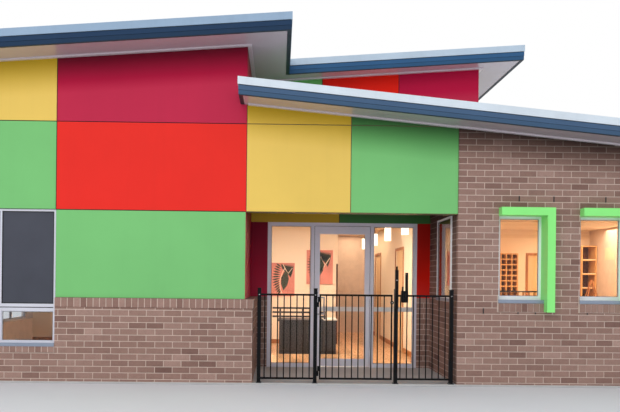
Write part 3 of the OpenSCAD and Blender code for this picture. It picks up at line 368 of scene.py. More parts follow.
def grained(tree, shader, size, roughness, spread, depth):
    """Adds fine grain to a shader's roughness and normal."""
    rough, height = use(tree, fine_grain, {"Size": size, "Roughness": roughness, "Spread": spread})
    tree.links.new(rough, shader.inputs["Roughness"])
    bumped(tree, shader, height, depth)


def toned(tree, shader, color, size, strength, marks=0.0, dirt=WHITE, width=0.12, eaves_shade=0.0):
    """Adds soft tone, and rain marks and painted shade under the eaves where they are wanted, to a shader's
    base colour.
    """
    last = use(tree, soft_tone, {"Color": color, "Size": size, "Strength": strength})[0]
    if marks:
        last = use(tree, rain_marks, {"Color": last, "Dirt": dirt, "Width": width, "Strength": marks})[0]
    if eaves_shade:
        last = use(tree, eaves_painted_shade, {"Color": last, "Strength": eaves_shade})[0]
    tree.links.new(last, shader.inputs["Base Color"])


def painted(name, color, roughness, tone, size, grain, depth, spread=0.12, marks=0.0, eaves_shade=0.0, shine=0.5,
            metal=0.0):
    """A painted or coated finish."""
    tree, shader = blank(name, Specular_IOR_Level=shine, Metallic=metal)
    toned(tree, shader, rgb(*color), size, tone, marks, dull(rgb(*color), 0.55), eaves_shade=eaves_shade)
    grained(tree, shader, grain, roughness, spread, depth)


def bricks(tones):
    """Fired clay: each brick has its own tone, with drag marks and speckles, and painted shade under the
    eaves.
    """
    tree, shader = blank("fired_clay", Specular_IOR_Level=0.25)
    own = node(tree, "ShaderNodeAttribute", attribute_name="tone").outputs["Fac"]
    ramp = node(tree, "ShaderNodeValToRGB", {"Fac": own})
    stops = ramp.color_ramp.elements
    stops.remove(stops[1])
    stops[0].color = rgb(*tones[0])
    for i, tone in enumerate(tones[1:], 1):
        stops.new(i / (len(tones) - 1)).color = rgb(*tone)
    speckles = ranged(tree, noise(tree, 0.006, 2.0, rough=0.7), 0.60, 0.72)
    mixed = mix(tree, speckles, ramp.outputs["Color"], rgb(92, 68, 64))
    toned(tree, shader, mixed, 0.09, 0.06, 0.10, rgb(104, 84, 80), 0.05, eaves_shade=0.9)
    grained(tree, shader, 0.005, 0.85, 0.15, 0.0010)


def edge_coat(name, roughness, *shades):
    """A coated strip round the roofs' edges, with painted light: a lighter or darker copy of the coat on each
    roof.
    """
    tree, shader = blank(name, Specular_IOR_Level=0.3)
    zones = zip(("Low Roof", "High Front", "High Back"), (rgb(*shade) for shade in shades))
    toned(tree, shader, use(tree, roof_painted_light, dict(zones))[0], 0.5, 0.04, 0.06, rgb(60, 74, 96))
    grained(tree, shader, 0.004, roughness, 0.12, 0.0001)


def floor_boards(name):
    """Narrow strips with their own tone, wood grain and dark joints."""
    tree, shader = blank(name, Coat_Weight=0.3, Coat_Roughness=0.12)
    wood = use(tree, wood_grain, {"Light": rgb(242, 196, 150), "Dark": rgb(220, 162, 114), "Size": 0.03})
    turned = mapped(tree, Rotation=(0, 0, math.pi / 2))
    feeds = {"Vector": turned, "Color1": dull(WHITE, 0.62), "Color2": WHITE, "Mortar": dull(WHITE, 0.12),
             "Scale": 1.0, "Mortar Size": 0.0012, "Brick Width": 1.8, "Row Height": 0.13}
    strips = node(tree, "ShaderNodeTexBrick", feeds, offset=0.37)
    mixed = mix(tree, 1.0, wood["Color"], strips.outputs["Color"], "MULTIPLY")
    tree.links.new(mixed, shader.inputs["Base Color"])
    grained(tree, shader, 0.01, 0.28, 0.1, 0.0002)


def timber(name, light, dark):
    tree, shader = blank(name, Roughness=0.45)
    color, height = use(tree, wood_grain, {"Light": rgb(*light), "Dark": rgb(*dark), "Size": 0.05})
    tree.links.new(color, shader.inputs["Base Color"])
    bumped(tree, shader, height, 0.0004)


def woven_mesh(name):
    """Insect mesh, seen as a dark veil with a fine weave."""
    tree, shader = blank(name, Specular_IOR_Level=0.3, Roughness=0.6)
    weave = node(tree, "ShaderNodeTexVoronoi", {"Vector": spot(tree), "Scale": 260.0}, distance="CHEBYCHEV")
    toned(tree, shader, rgb(74, 76, 86), 0.5, 0.08)
    bumped(tree, shader, weave.outputs["Distance"], 0.0004)


def glass(name, tint):
    tree, shader = blank(name, Transmission_Weight=1.0, IOR=1.25, Base_Color=tint)
    tree.links.new(ranged(tree, noise(tree, 0.35, 3.0), 0.45, 0.9, 0.0, 0.03), shader.inputs["Roughness"])


def glow(name, strength, color=(1.0, 0.88, 0.72, 1)):
    tree, shader = blank(name, Base_Color=color, Emission_Strength=strength, Roughness=0.4)
    ramp = node(tree, "ShaderNodeValToRGB", {"Fac": noise(tree, 0.08, 2.0)})
    for stop, share in zip(ramp.color_ramp.elements, (0.88, 1.0)):
        stop.color = dull(color, share)
    tree.links.new(ramp.outputs["Color"], shader.inputs["Emission Color"])


# name, screen colour, roughness, tone's strength and size, grain's size, depth and spread, rain marks,
# painted shade under the eaves, specular level and metallic share
for paint in (
    # The mortar, like the bricks, darkens under the eaves with painted shade.
    ("mortar", (224, 203, 190), 0.9, 0.06, 0.12, 0.004, 0.0008, 0.1, 0.12, 0.85, 0.2),
    ("concrete", (196, 194, 192), 0.75, 0.06, 0.35, 0.006, 0.0006, 0.2, 0.1),
    ("zinc_sheet", (216, 222, 226), 0.38, 0.05, 0.5, 0.004, 0.0001, 0.12, 0.06, 0, 0.5, 0.1),
    # The barge boards' dark slate shows between the capping and the folds as painted shadow lines.
    ("slate_blue_board", (26, 42, 56), 0.5, 0.05, 0.5, 0.003, 0.00008, 0.12, 0.08),
    ("soffit_lining", (206, 194, 202), 0.18, 0.02, 0.8, 0.003, 0.00003, 0.05, 0, 0, 0.6, 0.25),
    ("soffit_trim_coat", (222, 213, 218), 0.28, 0.03, 0.6, 0.003, 0.00004, 0.08, 0, 0, 0.5, 0.2),
    # Painted light and shade: the bulkhead's mid brown-grey stands in for its lit edge and the soft shadow
    # under it.
    ("bulkhead_painted_shade", (120, 112, 78), 0.5, 0.04, 0.4, 0.003, 0.00005),
    ("warm_plaster", (244, 224, 200), 0.8, 0.02, 0.6, 0.004, 0.0002),
    ("dark_lining", (52, 52, 56), 0.8, 0.05, 0.5, 0.005, 0.0003),
    ("silver_coat", (220, 220, 230), 0.36, 0.03, 0.4, 0.002, 0.00004, 0.1, 0, 0, 0.5, 0.1),
    ("white_coat", (255, 255, 255), 0.36, 0.02, 0.4, 0.002, 0.00004, 0.1),
    ("anodised_aluminium", (240, 236, 246), 0.32, 0.03, 0.3, 0.0015, 0.00004, 0.12, 0, 0, 0.5, 0.15),
    ("brushed_steel", (205, 205, 208), 0.26, 0.03, 0.1, 0.001, 0.00003, 0.15, 0, 0, 0.5, 1.0),
    ("black_coat", (10, 11, 14), 0.4, 0.06, 0.2, 0.002, 0.00005, 0.15, 0, 0, 0.14),
    ("lime_coat", (152, 254, 140), 0.36, 0.02, 0.5, 0.002, 0.00005, 0.1, 0, 0, 0.25),
    ("black_rubber", (20, 19, 20), 0.6, 0.05, 0.2, 0.002, 0.0001),
    ("grey_flashing", (146, 156, 174), 0.4, 0.05, 0.3, 0.003, 0.0001, 0.12, 0.05, 0, 0.5, 0.3),
    ("coral_canvas", (218, 136, 122), 0.85, 0.10, 0.30, 0.0012, 0.0003, 0.1),
    ("dark_leaf_paint", (62, 66, 52), 0.8, 0.14, 0.08, 0.002, 0.0002),
    ("cream_paint", (236, 214, 186), 0.8, 0.04, 0.1, 0.002, 0.0002),
    ("dark_laminate", (58, 58, 62), 0.5, 0.06, 0.2, 0.002, 0.0001),
    ("pale_laminate", (214, 206, 196), 0.4, 0.03, 0.3, 0.002, 0.0001),
    ("frosted_film", (238, 236, 232), 0.7, 0.02, 0.2, 0.001, 0.0001),
    ("pale_floor", (214, 214, 218), 0.85, 0.015, 1.5, 0.01, 0.0001)):
    painted(*paint)
bricks(((108, 79, 72), (137, 105, 95), (160, 127, 115), (177, 144, 132), (194, 161, 148)))
# The panel paints darken under the eaves with painted shade, by each row's third value.
for name, color, eaves_shade in (("yellow_panel", (246, 208, 104), 0.40), ("green_panel", (128, 203, 124), 0.84),
                           ("red_panel", (244, 48, 38), 0.55), ("crimson_panel", (200, 42, 76), 0.80)):
    painted(name, color, 0.42, 0.03, 0.9, 0.002, 0.00006, 0.1, 0.04, eaves_shade, 0.2)
# Painted light: the cappings and both barge folds take a lighter or darker copy of their coat on each roof,
# and the upper folds a lighter one than the lower folds.
edge_coat("capping_coat", 0.38, (222, 232, 240), (152, 176, 200), (196, 213, 228))
edge_coat("barge_upper_fold", 0.5, (68, 95, 126), (20, 52, 84), (46, 92, 134))
edge_coat("barge_lower_fold", 0.5, (60, 88, 117), (15, 47, 76), (40, 84, 122))
floor_boards("orange_boards")
timber("warm_timber", (206, 138, 80), (146, 86, 44))
timber("dark_timber", (112, 62, 36), (74, 38, 22))
timber("door_veneer", (240, 206, 160), (226, 184, 132))
timber("pale_timber", (236, 190, 132), (206, 150, 92))
woven_mesh("insect_mesh")
glass("clear_glass", (0.97, 0.985, 0.98, 1))
glass("brown_film", (0.27, 0.18, 0.13, 1))
glow("lamp_glow", 1.6)
glow("downlight_glow", 6.0)

DRESS = {
    "concrete": "floor_slab",
    "orange_boards": "timber_floor",
    "door_veneer": "inner_doors",
    "mortar": "brick_plinth brick_cappings rear_wall wing_front_wall wing_side_wall entry_side_wall",
    "dark_lining": "left_front_wall left_side_wall entry_return_wall entry_left_pier entry_right_pier"
                   " set_back_wall high_end_wall",
    # The bulkhead's mid brown-grey is painted light and shade along its lower edge.
    "bulkhead_painted_shade": "entry_bulkhead",
    "soffit_lining": "porch_ceiling upper_soffit lower_soffit",
    "warm_plaster": "flat_ceiling inner_walls",
    "zinc_sheet": "upper_roof lower_roof",
    "capping_coat": "edge_cappings",
    "grey_flashing": "sill_flashings",
    "slate_blue_board": "barge_boards",
    "yellow_panel": "yellow_panels",
    "green_panel": "green_panels",
    "red_panel": "red_panels",
    "crimson_panel": "crimson_panels",
    "silver_coat": "band_window_frames",
    "white_coat": "wing_window_frames",
    "anodised_aluminium": "screen_frame door_leaf door_hinges",
    "insect_mesh": "insect_screens",
    "lime_coat": "window_shrouds",
    "clear_glass": "window_glass screen_glass door_glass",
    "black_coat": "fence_posts fence_panels gate_lock gate",
    "coral_canvas": "wall_pictures",
    "dark_laminate": "reception_desk",
    "lamp_glow": "pendant_lamps",
    "brushed_steel": "door_pull",
}
for finish, names in DRESS.items():
    for name in names.split():
        mesh = nodes[name].data
        mesh.materials.clear()
        mesh.materials.append(FINISH[finish])
for name in ("door_pull", "pendant_lamps", "fence_posts", "fence_panels", "gate", "door_leaf", "door_hinges"):
    nodes[name].data.shade_smooth()
    nodes[name].data.set_sharp_from_angle(angle=math.radians(30))

# ---- windows: place, width, sill and head
SIDE_FIRST = 0.022
side_step = (DEPTH - WALL - SIDE_FIRST) / 3
BAND_PLACES = [at(BAY_X - BAND_W, FRONT_Y, 0),
               at(LEFT_X, FRONT_Y + SIDE_FIRST + 1.5 * side_step + BAND_W / 2, -90)]
BAND_PLACES += [at(x + (BAY_X - LEFT_X + BAND_W) / 2, REAR_Y, 180) for x in (LEFT_X, BAY_X)]
FRONT_US = [0.556 + 1.125 * i for i in range(4)]
SIDE_US = [1.5, 3.7, 7.0]
REAR_US = [1.0, 2.6]
PLACE_FRONT, PLACE_SIDE = at(WING_X, FRONT_Y, 0), at(RIGHT_X, FRONT_Y, 90)
PLACE_REAR, PLACE_ENTRY = at(RIGHT_X, REAR_Y, 180), at(WING_X, SETBACK_Y, -90)
PLACE_LEFT, PLACE_LEFT_SIDE = at(LEFT_X, FRONT_Y, 0), at(LEFT_X, REAR_Y, -90)
PLACE_PLINTH_END = at(ENTRY_X + PLINTH_OUT, FRONT_Y, 90)
ENTRY_U, ENTRY_W = 0.570, 0.810
SHROUDED = [(PLACE_FRONT, u, WINDOW_W) for u in FRONT_US] + [(PLACE_SIDE, u, WINDOW_W) for u in SIDE_US]
PLAIN = [(PLACE_REAR, u, WINDOW_W) for u in REAR_US] + [(PLACE_ENTRY, ENTRY_U, ENTRY_W)]
ROWLOCK_LOW, ROWLOCK_HIGH = 1.034, 1.146

# ---- brickwork
STRETCHER, HEADER, JOINT, COURSE = 0.230, 0.110, 0.010, 0.086
PROUD = 0.004
TONE_SPREAD = 0.11
WING_JOINT, PLINTH_JOINT = 0.9985, 1.0080
WALL_FOOT = SLAB_Z + 0.004
SLIVER_W, SLIVER_H = 0.014, 0.012


def less(box, hole):
    """What is left of a rectangle (x0, x1, z0, z1) outside a hole, as rectangles."""
    x0, x1, z0, z1 = box
    a, b, c, d = hole
    if a >= x1 or b <= x0 or c >= z1 or d <= z0:
        return [box]
    left, right = max(a, x0), min(b, x1)
    parts = [(x0, a, z0, z1), (b, x1, z0, z1), (left, right, z0, c), (left, right, d, z1)]
    return [part for part in parts if part[1] > part[0] and part[3] > part[2]]


def brick_tone(chance):
    return min(max(chance.gauss(0.5, TONE_SPREAD), 0.0), 1.0)


def brick_wall(heap, place, length, top, seed, holes=(), low=WALL_FOOT, joint=WING_JOINT, flip=0,
               from_end=False, ends=(0.0, 0.0)):
    """Stretcher bond on a wall face. top(u) is the height where it ends. from_end bonds the far corner."""
    chance = random.Random(seed)
    course = math.floor((low - joint) / COURSE)
    highest = max(top(0), top(length))
    while joint + course * COURSE < highest:
        z0 = max(joint + course * COURSE + JOINT / 2, low)
        z1 = joint + (course + 1) * COURSE - JOINT / 2
        offset = 0.0 if (course + flip) % 2 else -(HEADER + JOINT)
        for i in range(int(length / (STRETCHER + JOINT)) + 2):
            u0 = offset + i * (STRETCHER + JOINT)
            u1 = u0 + STRETCHER
            if from_end:
                u0, u1 = length - u1, length - u0
            u0, u1 = max(u0, 0.0), min(u1, length)
            tone = brick_tone(chance)
            if u1 - u0 < 0.02 or z1 - z0 < SLIVER_H:
                continue
            out = (ends[0] if u0 < 0.001 else 0, ends[1] if u1 > length - 0.001 else 0)
            boxes = [(u0 - out[0], u1 + out[1], z0, z1)]
            for hole in holes:
                boxes = [part for box in boxes for part in less(box, hole)]
            for a, b, c, d in boxes:
                heads = (min(d, top(max(a, 0))), min(d, top(min(b, length))))
                if b - a > SLIVER_W and min(heads) - c > SLIVER_H:
                    heap.brick((a, b), (-PROUD, 0.002), (c, d), place, tone, heads)
        course += 1
    return heap


def rowlock(heap, place, u0, u1, z0, z1, face, back, seed):
    """A course of bricks set on edge."""
    chance = random.Random(seed)
    count = round((u1 - u0) / (0.076 + JOINT))
    pitch = (u1 - u0) / count
    for i in range(count):
        a = u0 + i * pitch + JOINT / 2
        heap.brick((a, a + pitch - JOINT), (face, back), (z0, z1), place, brick_tone(chance))


def under(top, x_of):
    """Height just under the soffit, along a wall."""
    return lambda u: top(x_of(u)) - LINE - 0.004


def level(z):
    return lambda u: z


def window_holes(us, width=WINDOW_W, sill=SILL_Z, head=HEAD_Z, foot=ROWLOCK_LOW - JOINT):
    """The windows' openings, then the bricks on edge under them."""
    return [(u, u + width, sill, head) for u in us] + [(u - 0.012, u + width + 0.012, foot, sill) for u in us]


def rear_top(u):
    x = RIGHT_X - u
    return (lower_top(x) if x > HIGH_X else upper_top(x)) - LINE - 0.004


brick_wall(Heap(), PLACE_FRONT, RIGHT_X - WING_X, under(lower_top, lambda u: WING_X + u), 11,
           window_holes(FRONT_US), ends=(PROUD, PROUD)).piece("wing_front_bricks", "fired_clay", slot="brick")
brick_wall(Heap(), PLACE_SIDE, DEPTH, under(lower_top, lambda u: RIGHT_X), 12, window_holes(SIDE_US),
           flip=1).piece("wing_side_bricks", "fired_clay", slot="brick")

wall = Heap()
band_us = [RIGHT_X - place.translation.x for place in BAND_PLACES[2:]]
rear_holes = window_holes(REAR_US) + window_holes(band_us, BAND_W, BAND_SILL_Z, ROW2_Z,
                                                  BAND_SILL_Z - CAP_H - JOINT)
low_length, low_end = RIGHT_X - HIGH_X, lower_top(HIGH_X)
brick_wall(wall, PLACE_REAR, low_length, rear_top, 13, rear_holes, ends=(PROUD, 0))
shifted = [(a - low_length, b - low_length, c, d) for a, b, c, d in rear_holes]
brick_wall(wall, at(HIGH_X, REAR_Y, 180), HIGH_X - LEFT_X, under(upper_top, lambda u: HIGH_X - u), 14,
           shifted + [(-1, 0.6, low_end - ROOF_T - 0.02, low_end + 0.06)], ends=(0, PROUD))
brick_wall(wall, at(HIGH_X, REAR_Y - WALL, 90), WALL, under(upper_top, lambda u: HIGH_X), 15,
           low=low_end + 0.03)
brick_wall(wall, PLACE_LEFT_SIDE, WALL, under(upper_top, lambda u: LEFT_X), 16, low=PLINTH_Z + 0.006,
           joint=PLINTH_JOINT)
wall.piece("rear_bricks", "fired_clay", slot="brick")

wall = Heap()
brick_wall(wall, PLACE_ENTRY, PORCH_DEPTH, level(PORCH_Z - 0.002), 17,
           window_holes([ENTRY_U], ENTRY_W) + [(PORCH_DEPTH - 0.2, 9, ROW2_Z - 0.002, 9)], flip=1,
           from_end=True)
brick_wall(wall, at(SCREEN_RIGHT_X, SETBACK_Y, 0), WING_X - SCREEN_RIGHT_X - PROUD,
           level(PLINTH_Z - 0.002), 18)
wall.piece("entry_side_bricks", "fired_clay", slot="brick")

plinth_length = ENTRY_X + PLINTH_OUT - LEFT_X
band_u = BAY_X - BAND_W - LEFT_X
side_band_u = REAR_Y - BAND_PLACES[1].translation.y
cap_foot, band_foot = level(PLINTH_Z - CAP_H - 0.004), BAND_SILL_Z - CAP_H
wall = Heap()
brick_wall(wall, PLACE_LEFT, plinth_length, cap_foot, 21, [(band_u, band_u + BAND_W, band_foot, 9)],
           joint=PLINTH_JOINT, ends=(PROUD, PROUD))
brick_wall(wall, PLACE_LEFT_SIDE, DEPTH, cap_foot, 22, [(side_band_u, side_band_u + BAND_W, band_foot, 9)],
           joint=PLINTH_JOINT, flip=1)
brick_wall(wall, PLACE_PLINTH_END, PORCH_DEPTH, cap_foot, 23, joint=PLINTH_JOINT, flip=1)
brick_wall(wall, at(ENTRY_X + PLINTH_OUT, SETBACK_Y, 0), SCREEN_LEFT_X - ENTRY_X - PLINTH_OUT,
           level(PLINTH_Z - 0.002), 24, joint=PLINTH_JOINT)
wall.piece("plinth_bricks", "fired_clay", slot="brick")

caps = Heap()
face = -CAP_OUT - PROUD
for seed, (place, u0, u1, back) in enumerate((
        (PLACE_LEFT, -CAP_OUT, band_u, 0.008), (PLACE_LEFT, band_u + BAND_W, plinth_length + CAP_OUT, 0.008),
        (at(LEFT_X, REAR_Y - WALL, -90), 0, side_band_u - WALL, 0.008),
        (PLACE_LEFT_SIDE, side_band_u + BAND_W, DEPTH, 0.008), (PLACE_PLINTH_END, 0, PORCH_DEPTH, 0.1)), 31):
    rowlock(caps, place, u0, u1, PLINTH_Z - CAP_H - 0.003, PLINTH_Z + 0.003, face, back, seed)
for i in (0, 1):
    rowlock(caps, BAND_PLACES[i], 0, BAND_W, band_foot - 0.003, BAND_SILL_Z - 0.03, face, 0.001, 36 + i)
caps.piece("plinth_rowlocks", "fired_clay", slot="brick")

sills, bedding = Heap(), Heap()
rear_bands = [(place, 0, BAND_W) for place in BAND_PLACES[2:]]
for first, windows, low, high in ((50, SHROUDED + PLAIN, ROWLOCK_LOW, ROWLOCK_HIGH),
                                  (70, rear_bands, band_foot, BAND_SILL_Z - 0.03)):
    for seed, (place, u, width) in enumerate(windows, first):
        rowlock(sills, place, u, u + width, low, high, -0.019, 0.002, seed)
        bedding.block((u - 0.006, u + width + 0.006), (-0.011, 0.001), (low - 0.006, high + 0.004), place)
sills.piece("window_sill_bricks", "fired_clay", slot="brick")
bedding.piece("window_sill_mortar", "mortar", slot="brick")

slips = Heap()
chance = random.Random(90)
for place, u, width in SHROUDED:
    z = WING_JOINT
    while z < HEAD_Z - 0.024:
        low, high = max(z + JOINT / 2, SILL_Z + 0.004), min(z + COURSE - JOINT / 2, HEAD_Z - 0.024)
        if high - low > SLIVER_H:
            tone = chance.uniform(0.3, 0.7)
            slips.block((u, u + 0.004), (-PROUD, WING_FRAME_SET), (low, high), place, tone)
        z += COURSE
slips.piece("window_reveal_bricks", "fired_clay", slot="brick")

weeps = Heap()
HIGH_WEEPS = WING_JOINT + 18 * COURSE
for place, us, z in ((PLACE_FRONT, (0.835, 1.315, 2.035, 2.995, 3.475, 4.435), HIGH_WEEPS),
                     (PLACE_FRONT, (0.355, 0.835, 1.075, 1.795, 2.515, 3.235, 3.955, 4.675), WING_JOINT),
                     (PLACE_SIDE, (1.795, 3.955, 7.315), HIGH_WEEPS),
                     (PLACE_REAR, (1.315, 2.995), HIGH_WEEPS)):
    for u in us:
        weeps.block((u - 0.009, u + 0.009), (-0.0045, 0.0005), (z + 0.004, z + COURSE - 0.004), place)
weeps.piece("weep_slots", "black_rubber")


# ---- roofs
def upper_edge(inset):
    """Plan of the high roof's edge, anticlockwise, moved inwards by a distance."""
    left, right, back = LEFT_X - EAVE + inset, HIGH_X + HIGH_END - inset, REAR_Y + EAVE - inset
    front, step_x, step_y = FRONT_Y - EAVE + inset, ENTRY_X + STEP_OUT - inset, SETBACK_Y - STEP_FRONT + inset
    return [(left, front), (step_x, front), (step_x, step_y), (right, step_y), (right, back), (left, back)]


def lower_edge(inset):
    """Plan of the low roof's free edges, from the front wall round to the rear wall."""
    left, front = ENTRY_X - LOW_LAP + inset, FRONT_Y - FRONT_EAVE + inset
    right, back, end = RIGHT_X + EAVE - inset, REAR_Y + EAVE - inset, HIGH_X - LOW_LAP + inset
    return [(left, FRONT_Y + 0.008), (left, front), (right, front), (right, back), (end, back), (end, REAR_Y)]


def high_faces(out):
    """Plan of the high part's wall faces, moved outwards by a distance."""
    left, front = LEFT_X + PANEL_SET - out, FRONT_Y + PANEL_SET - out
    return [(left, front), (ENTRY_X + out, front), (ENTRY_X + out, SETBACK_Y - out),
            (HIGH_X + out, SETBACK_Y - out), (HIGH_X + out, REAR_Y + out), (left, REAR_Y + out)]


def low_faces(out):
    """Plan of the low part's wall faces under its own roof."""
    return [(ENTRY_X + 0.016, FRONT_Y + PANEL_SET - out), (WING_X - out, FRONT_Y + PANEL_SET - out),
            (WING_X - out, FRONT_Y - out), (RIGHT_X + out, FRONT_Y - out), (RIGHT_X + out, REAR_Y + out),
            (HIGH_X + 0.016, REAR_Y + out)]


def ribs(name, top, *fields):
    """Trapezoid ribs that run down a roof, evenly spaced over each field's y and x."""
    heap, pitch, half, crest, height = Heap(), 0.19, 0.030, 0.014, 0.019
    section = [(-half, 0.0), (-crest, height), (crest, height), (half, 0.0)]
    for y, x in fields:
        count = int((y[1] - y[0] - 0.06) / pitch)
        first = (y[0] + y[1] - count * pitch) / 2
        for i in range(count + 1):
            heap.between([(px, first + i * pitch + a, top(px) + b - 0.001) for px in x for a, b in section])
    heap.piece(name, "zinc_sheet", slot="roof_sheet")


COVER = 0.092
(left, front), (step_x, step_y), (right, back) = upper_edge(COVER)[::2]
ribs("upper_roof_ribs", upper_top, ((front, step_y), (left, step_x)), ((step_y, back), (left, right)))
(left, front), _, (right, back) = lower_edge(COVER)[1:4]
ribs("lower_roof_ribs", lower_top, ((front, FRONT_Y + 0.01), (left, right)),
     ((FRONT_Y + 0.09, SETBACK_Y - 0.12), (ENTRY_X + 0.12, right)),
     ((SETBACK_Y - 0.10, back), (HIGH_X + 0.12, right)))

apron = Heap()
fold = ((-0.11, 0.021), (-0.003, 0.026), (-0.003, 0.11), (0, 0.11), (0, 0.022), (-0.11, 0.018))
apron.between([(x, SETBACK_Y - 0.002 + dy, lower_top(x) + dz) for x in (ENTRY_X + 0.004, HIGH_X + 0.11)
               for dy, dz in fold])
for x, y, foot in ((HIGH_X, (SETBACK_Y, REAR_Y), 0.008), (ENTRY_X, (FRONT_Y + 0.03, SETBACK_Y), 0.004)):
    z = lower_top(x + 0.06)
    apron.block((x + 0.002, x + 0.005), y, (z + 0.01, z + 0.12))
    apron.block((x + 0.002, x + 0.11), y, (z + foot, z + 0.026))
apron.piece("roof_aprons", "zinc_sheet", slot="roof_sheet")


def sloping_strip(heap, outer, inner, top, high, low, closed):
    """One mitred strip between two plans, between two heights below a roof's top."""
    points = []
    for (a, b), (c, d) in zip(outer, inner):
        points += [(a, b, top(a) - low), (a, b, top(a) - high), (c, d, top(c) - high), (c, d, top(c) - low)]
    faces = []
    for i, j in loop(len(outer))[:None if closed else -1]:
        p, q = 4 * i, 4 * j
        faces += [(p + a, q + a, q + b, p + b) for a, b in loop(4)]
    if not closed:
        last = 4 * (len(outer) - 1)
        faces += [(0, 1, 2, 3), (last + 3, last + 2, last + 1, last)]
    heap.add(points, faces)


upper_fold, lower_fold, lips, trims = Heap(), Heap(), Heap(), Heap()
for edge, top, closed in ((upper_edge, upper_top, True), (lower_edge, lower_top, False)):
    sloping_strip(upper_fold, edge(0.008), edge(0.0145), top, 0.098, 0.158, closed)
    sloping_strip(lower_fold, edge(0.011), edge(0.0145), top, 0.162, 0.217, closed)
    inner = [(wide[0], narrow[1]) for wide, narrow in zip(edge(0.066), edge(0.032))]
    sloping_strip(lips, edge(0.0145), inner, top, LINE - 0.001, 0.2262, closed)
upper_fold.piece("barge_upper_folds", "barge_upper_fold", slot="barge")
lower_fold.piece("barge_lower_folds", "barge_lower_fold", slot="barge")
lips.piece("barge_return_lips", "slate_blue_board", slot="barge")
for faces_at, top, closed in ((high_faces, upper_top, True), (low_faces, lower_top, False)):
    sloping_strip(trims, faces_at(0.055), faces_at(0.0), top, LINE - 0.001, LINE + 0.012, closed)
trims.piece("soffit_trims", "soffit_trim_coat", slot="soffit")

# ---- glazing trims
gaskets, beads, screen_frames = Heap(), Heap(), Heap()


def glazed(x, z, bead, depth, face, place=None):
    """A pane's bead and the gasket inside it, in front of the glass's face."""
    beads.ring(x, z, bead, (face - depth, face), place)
    gaskets.ring((x[0] + bead, x[1] - bead), (z[0] + bead, z[1] - bead), 0.004, (face - 0.004, face), place)


for windows, bar, face in ((SHROUDED, WING_FRAME_W, WING_FRAME_SET + GLASS_SET),
                           (PLAIN, PLAIN_FRAME_W, GLASS_SET - PLAIN_FRAME_OUT)):
    for place, u, width in windows:
        glazed((u + bar, u + width - bar), (SILL_Z + bar, HEAD_Z - bar), 0.008, 0.009, face, place)
light_w = (BAND_W - BAND_FRAME_W) / BAND_LIGHTS
upper = (BAND_TRANSOM_Z + TRANSOM_HALF, ROW2_Z - BAND_FRAME_W)
lower = (BAND_SILL_Z + BAND_FRAME_W, BAND_TRANSOM_Z - TRANSOM_HALF)
for place in BAND_PLACES:
    for i in range(BAND_LIGHTS):
        x = (BAND_FRAME_W + i * light_w, i * light_w + light_w)
        screen_frames.ring(x, upper, 0.012, (BAND_FRAME_SET + 0.003, BAND_FRAME_SET + 0.009), place)
        glazed(x, lower, 0.010, 0.018, BAND_FRAME_SET + FRAME_D / 2, place)
    gaskets.block((BAND_FRAME_W, BAND_W - BAND_FRAME_W), (BAND_FRAME_SET + 0.009, BAND_FRAME_SET + 0.0155),
                  (BAND_TRANSOM_Z - TRANSOM_GAP / 2, BAND_TRANSOM_Z + TRANSOM_GAP / 2), place)
screen_face, sidelight_x = SETBACK_Y + 0.050, DOOR_END_X + SCREEN_BAR
for x in (SCREEN_LEFT_X + SCREEN_BAR, sidelight_x):
    glazed((x, x + SIDELIGHT_W), (SLAB_Z + SCREEN_BAR, 2.326), 0.012, 0.022, screen_face)
gaskets.piece("glazing_gaskets", "black_rubber")
beads.piece("glazing_beads", "silver_coat", slot="window_frame")
screen_frames.piece("insect_screen_frames", "black_rubber", slot="window_frame")

glass_low, glass_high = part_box("door_glass")
bead = Heap().ring((glass_low.x, glass_high.x), (glass_low.z, glass_high.z), 0.012,
                   (glass_low.y - 0.014, glass_low.y))
bead.piece("door_glazing_beads", "anodised_aluminium", "door", "door_metal")


def film(name, finish, x, face, z, place=None, body="building", thick=(0.0006, 0.0002)):
    """A thin sheet in front of a pane, 1 mm inside its edges."""
    sheet = Heap().block((x[0] + 0.001, x[1] - 0.001), (face - thick[0], face - thick[1]), z, place)
    sheet.piece(name, finish, body)


BAND_Z = (0.935, 1.010)
film("door_visibility_band", "frosted_film", (glass_low.x, glass_high.x), glass_low.y, BAND_Z, body="door")
film("sidelight_visibility_band", "frosted_film", (sidelight_x, sidelight_x + SIDELIGHT_W), screen_face,
     BAND_Z)
film("entry_window_film", "brown_film", (ENTRY_U + PLAIN_FRAME_W, ENTRY_U + ENTRY_W - PLAIN_FRAME_W), 0,
     (SILL_Z + PLAIN_FRAME_W + 0.001, HEAD_Z - PLAIN_FRAME_W - 0.001), PLACE_ENTRY, thick=(0.0026, 0.0021))

STOP_W = 0.018
stops = Heap()
stop_y, stop_top = (SETBACK_Y + 0.058, SETBACK_Y + 0.072), HEAD_Z - SCREEN_BAR
for x in (DOOR_X, DOOR_END_X - STOP_W):
    stops.block((x, x + STOP_W), stop_y, (SLAB_Z + 0.013, stop_top))
stops.block((DOOR_X + STOP_W, DOOR_END_X - STOP_W), stop_y, (stop_top - STOP_W, stop_top))
stops.piece("door_stops", "black_rubber")
door_lock = Heap()
door_lock.rod((-0.296, -2.802, 1.23), (-0.296, -2.8065, 1.23), 0.026, 24)
door_lock.rod((-0.296, -2.8065, 1.23), (-0.296, -2.812, 1.23), 0.013, 20)
door_lock.block((-0.2975, -0.2945), (-2.8135, -2.811), (1.222, 1.238))
door_lock.piece("door_lock_cylinder", "brushed_steel", "door", "door_metal", smooth=True)

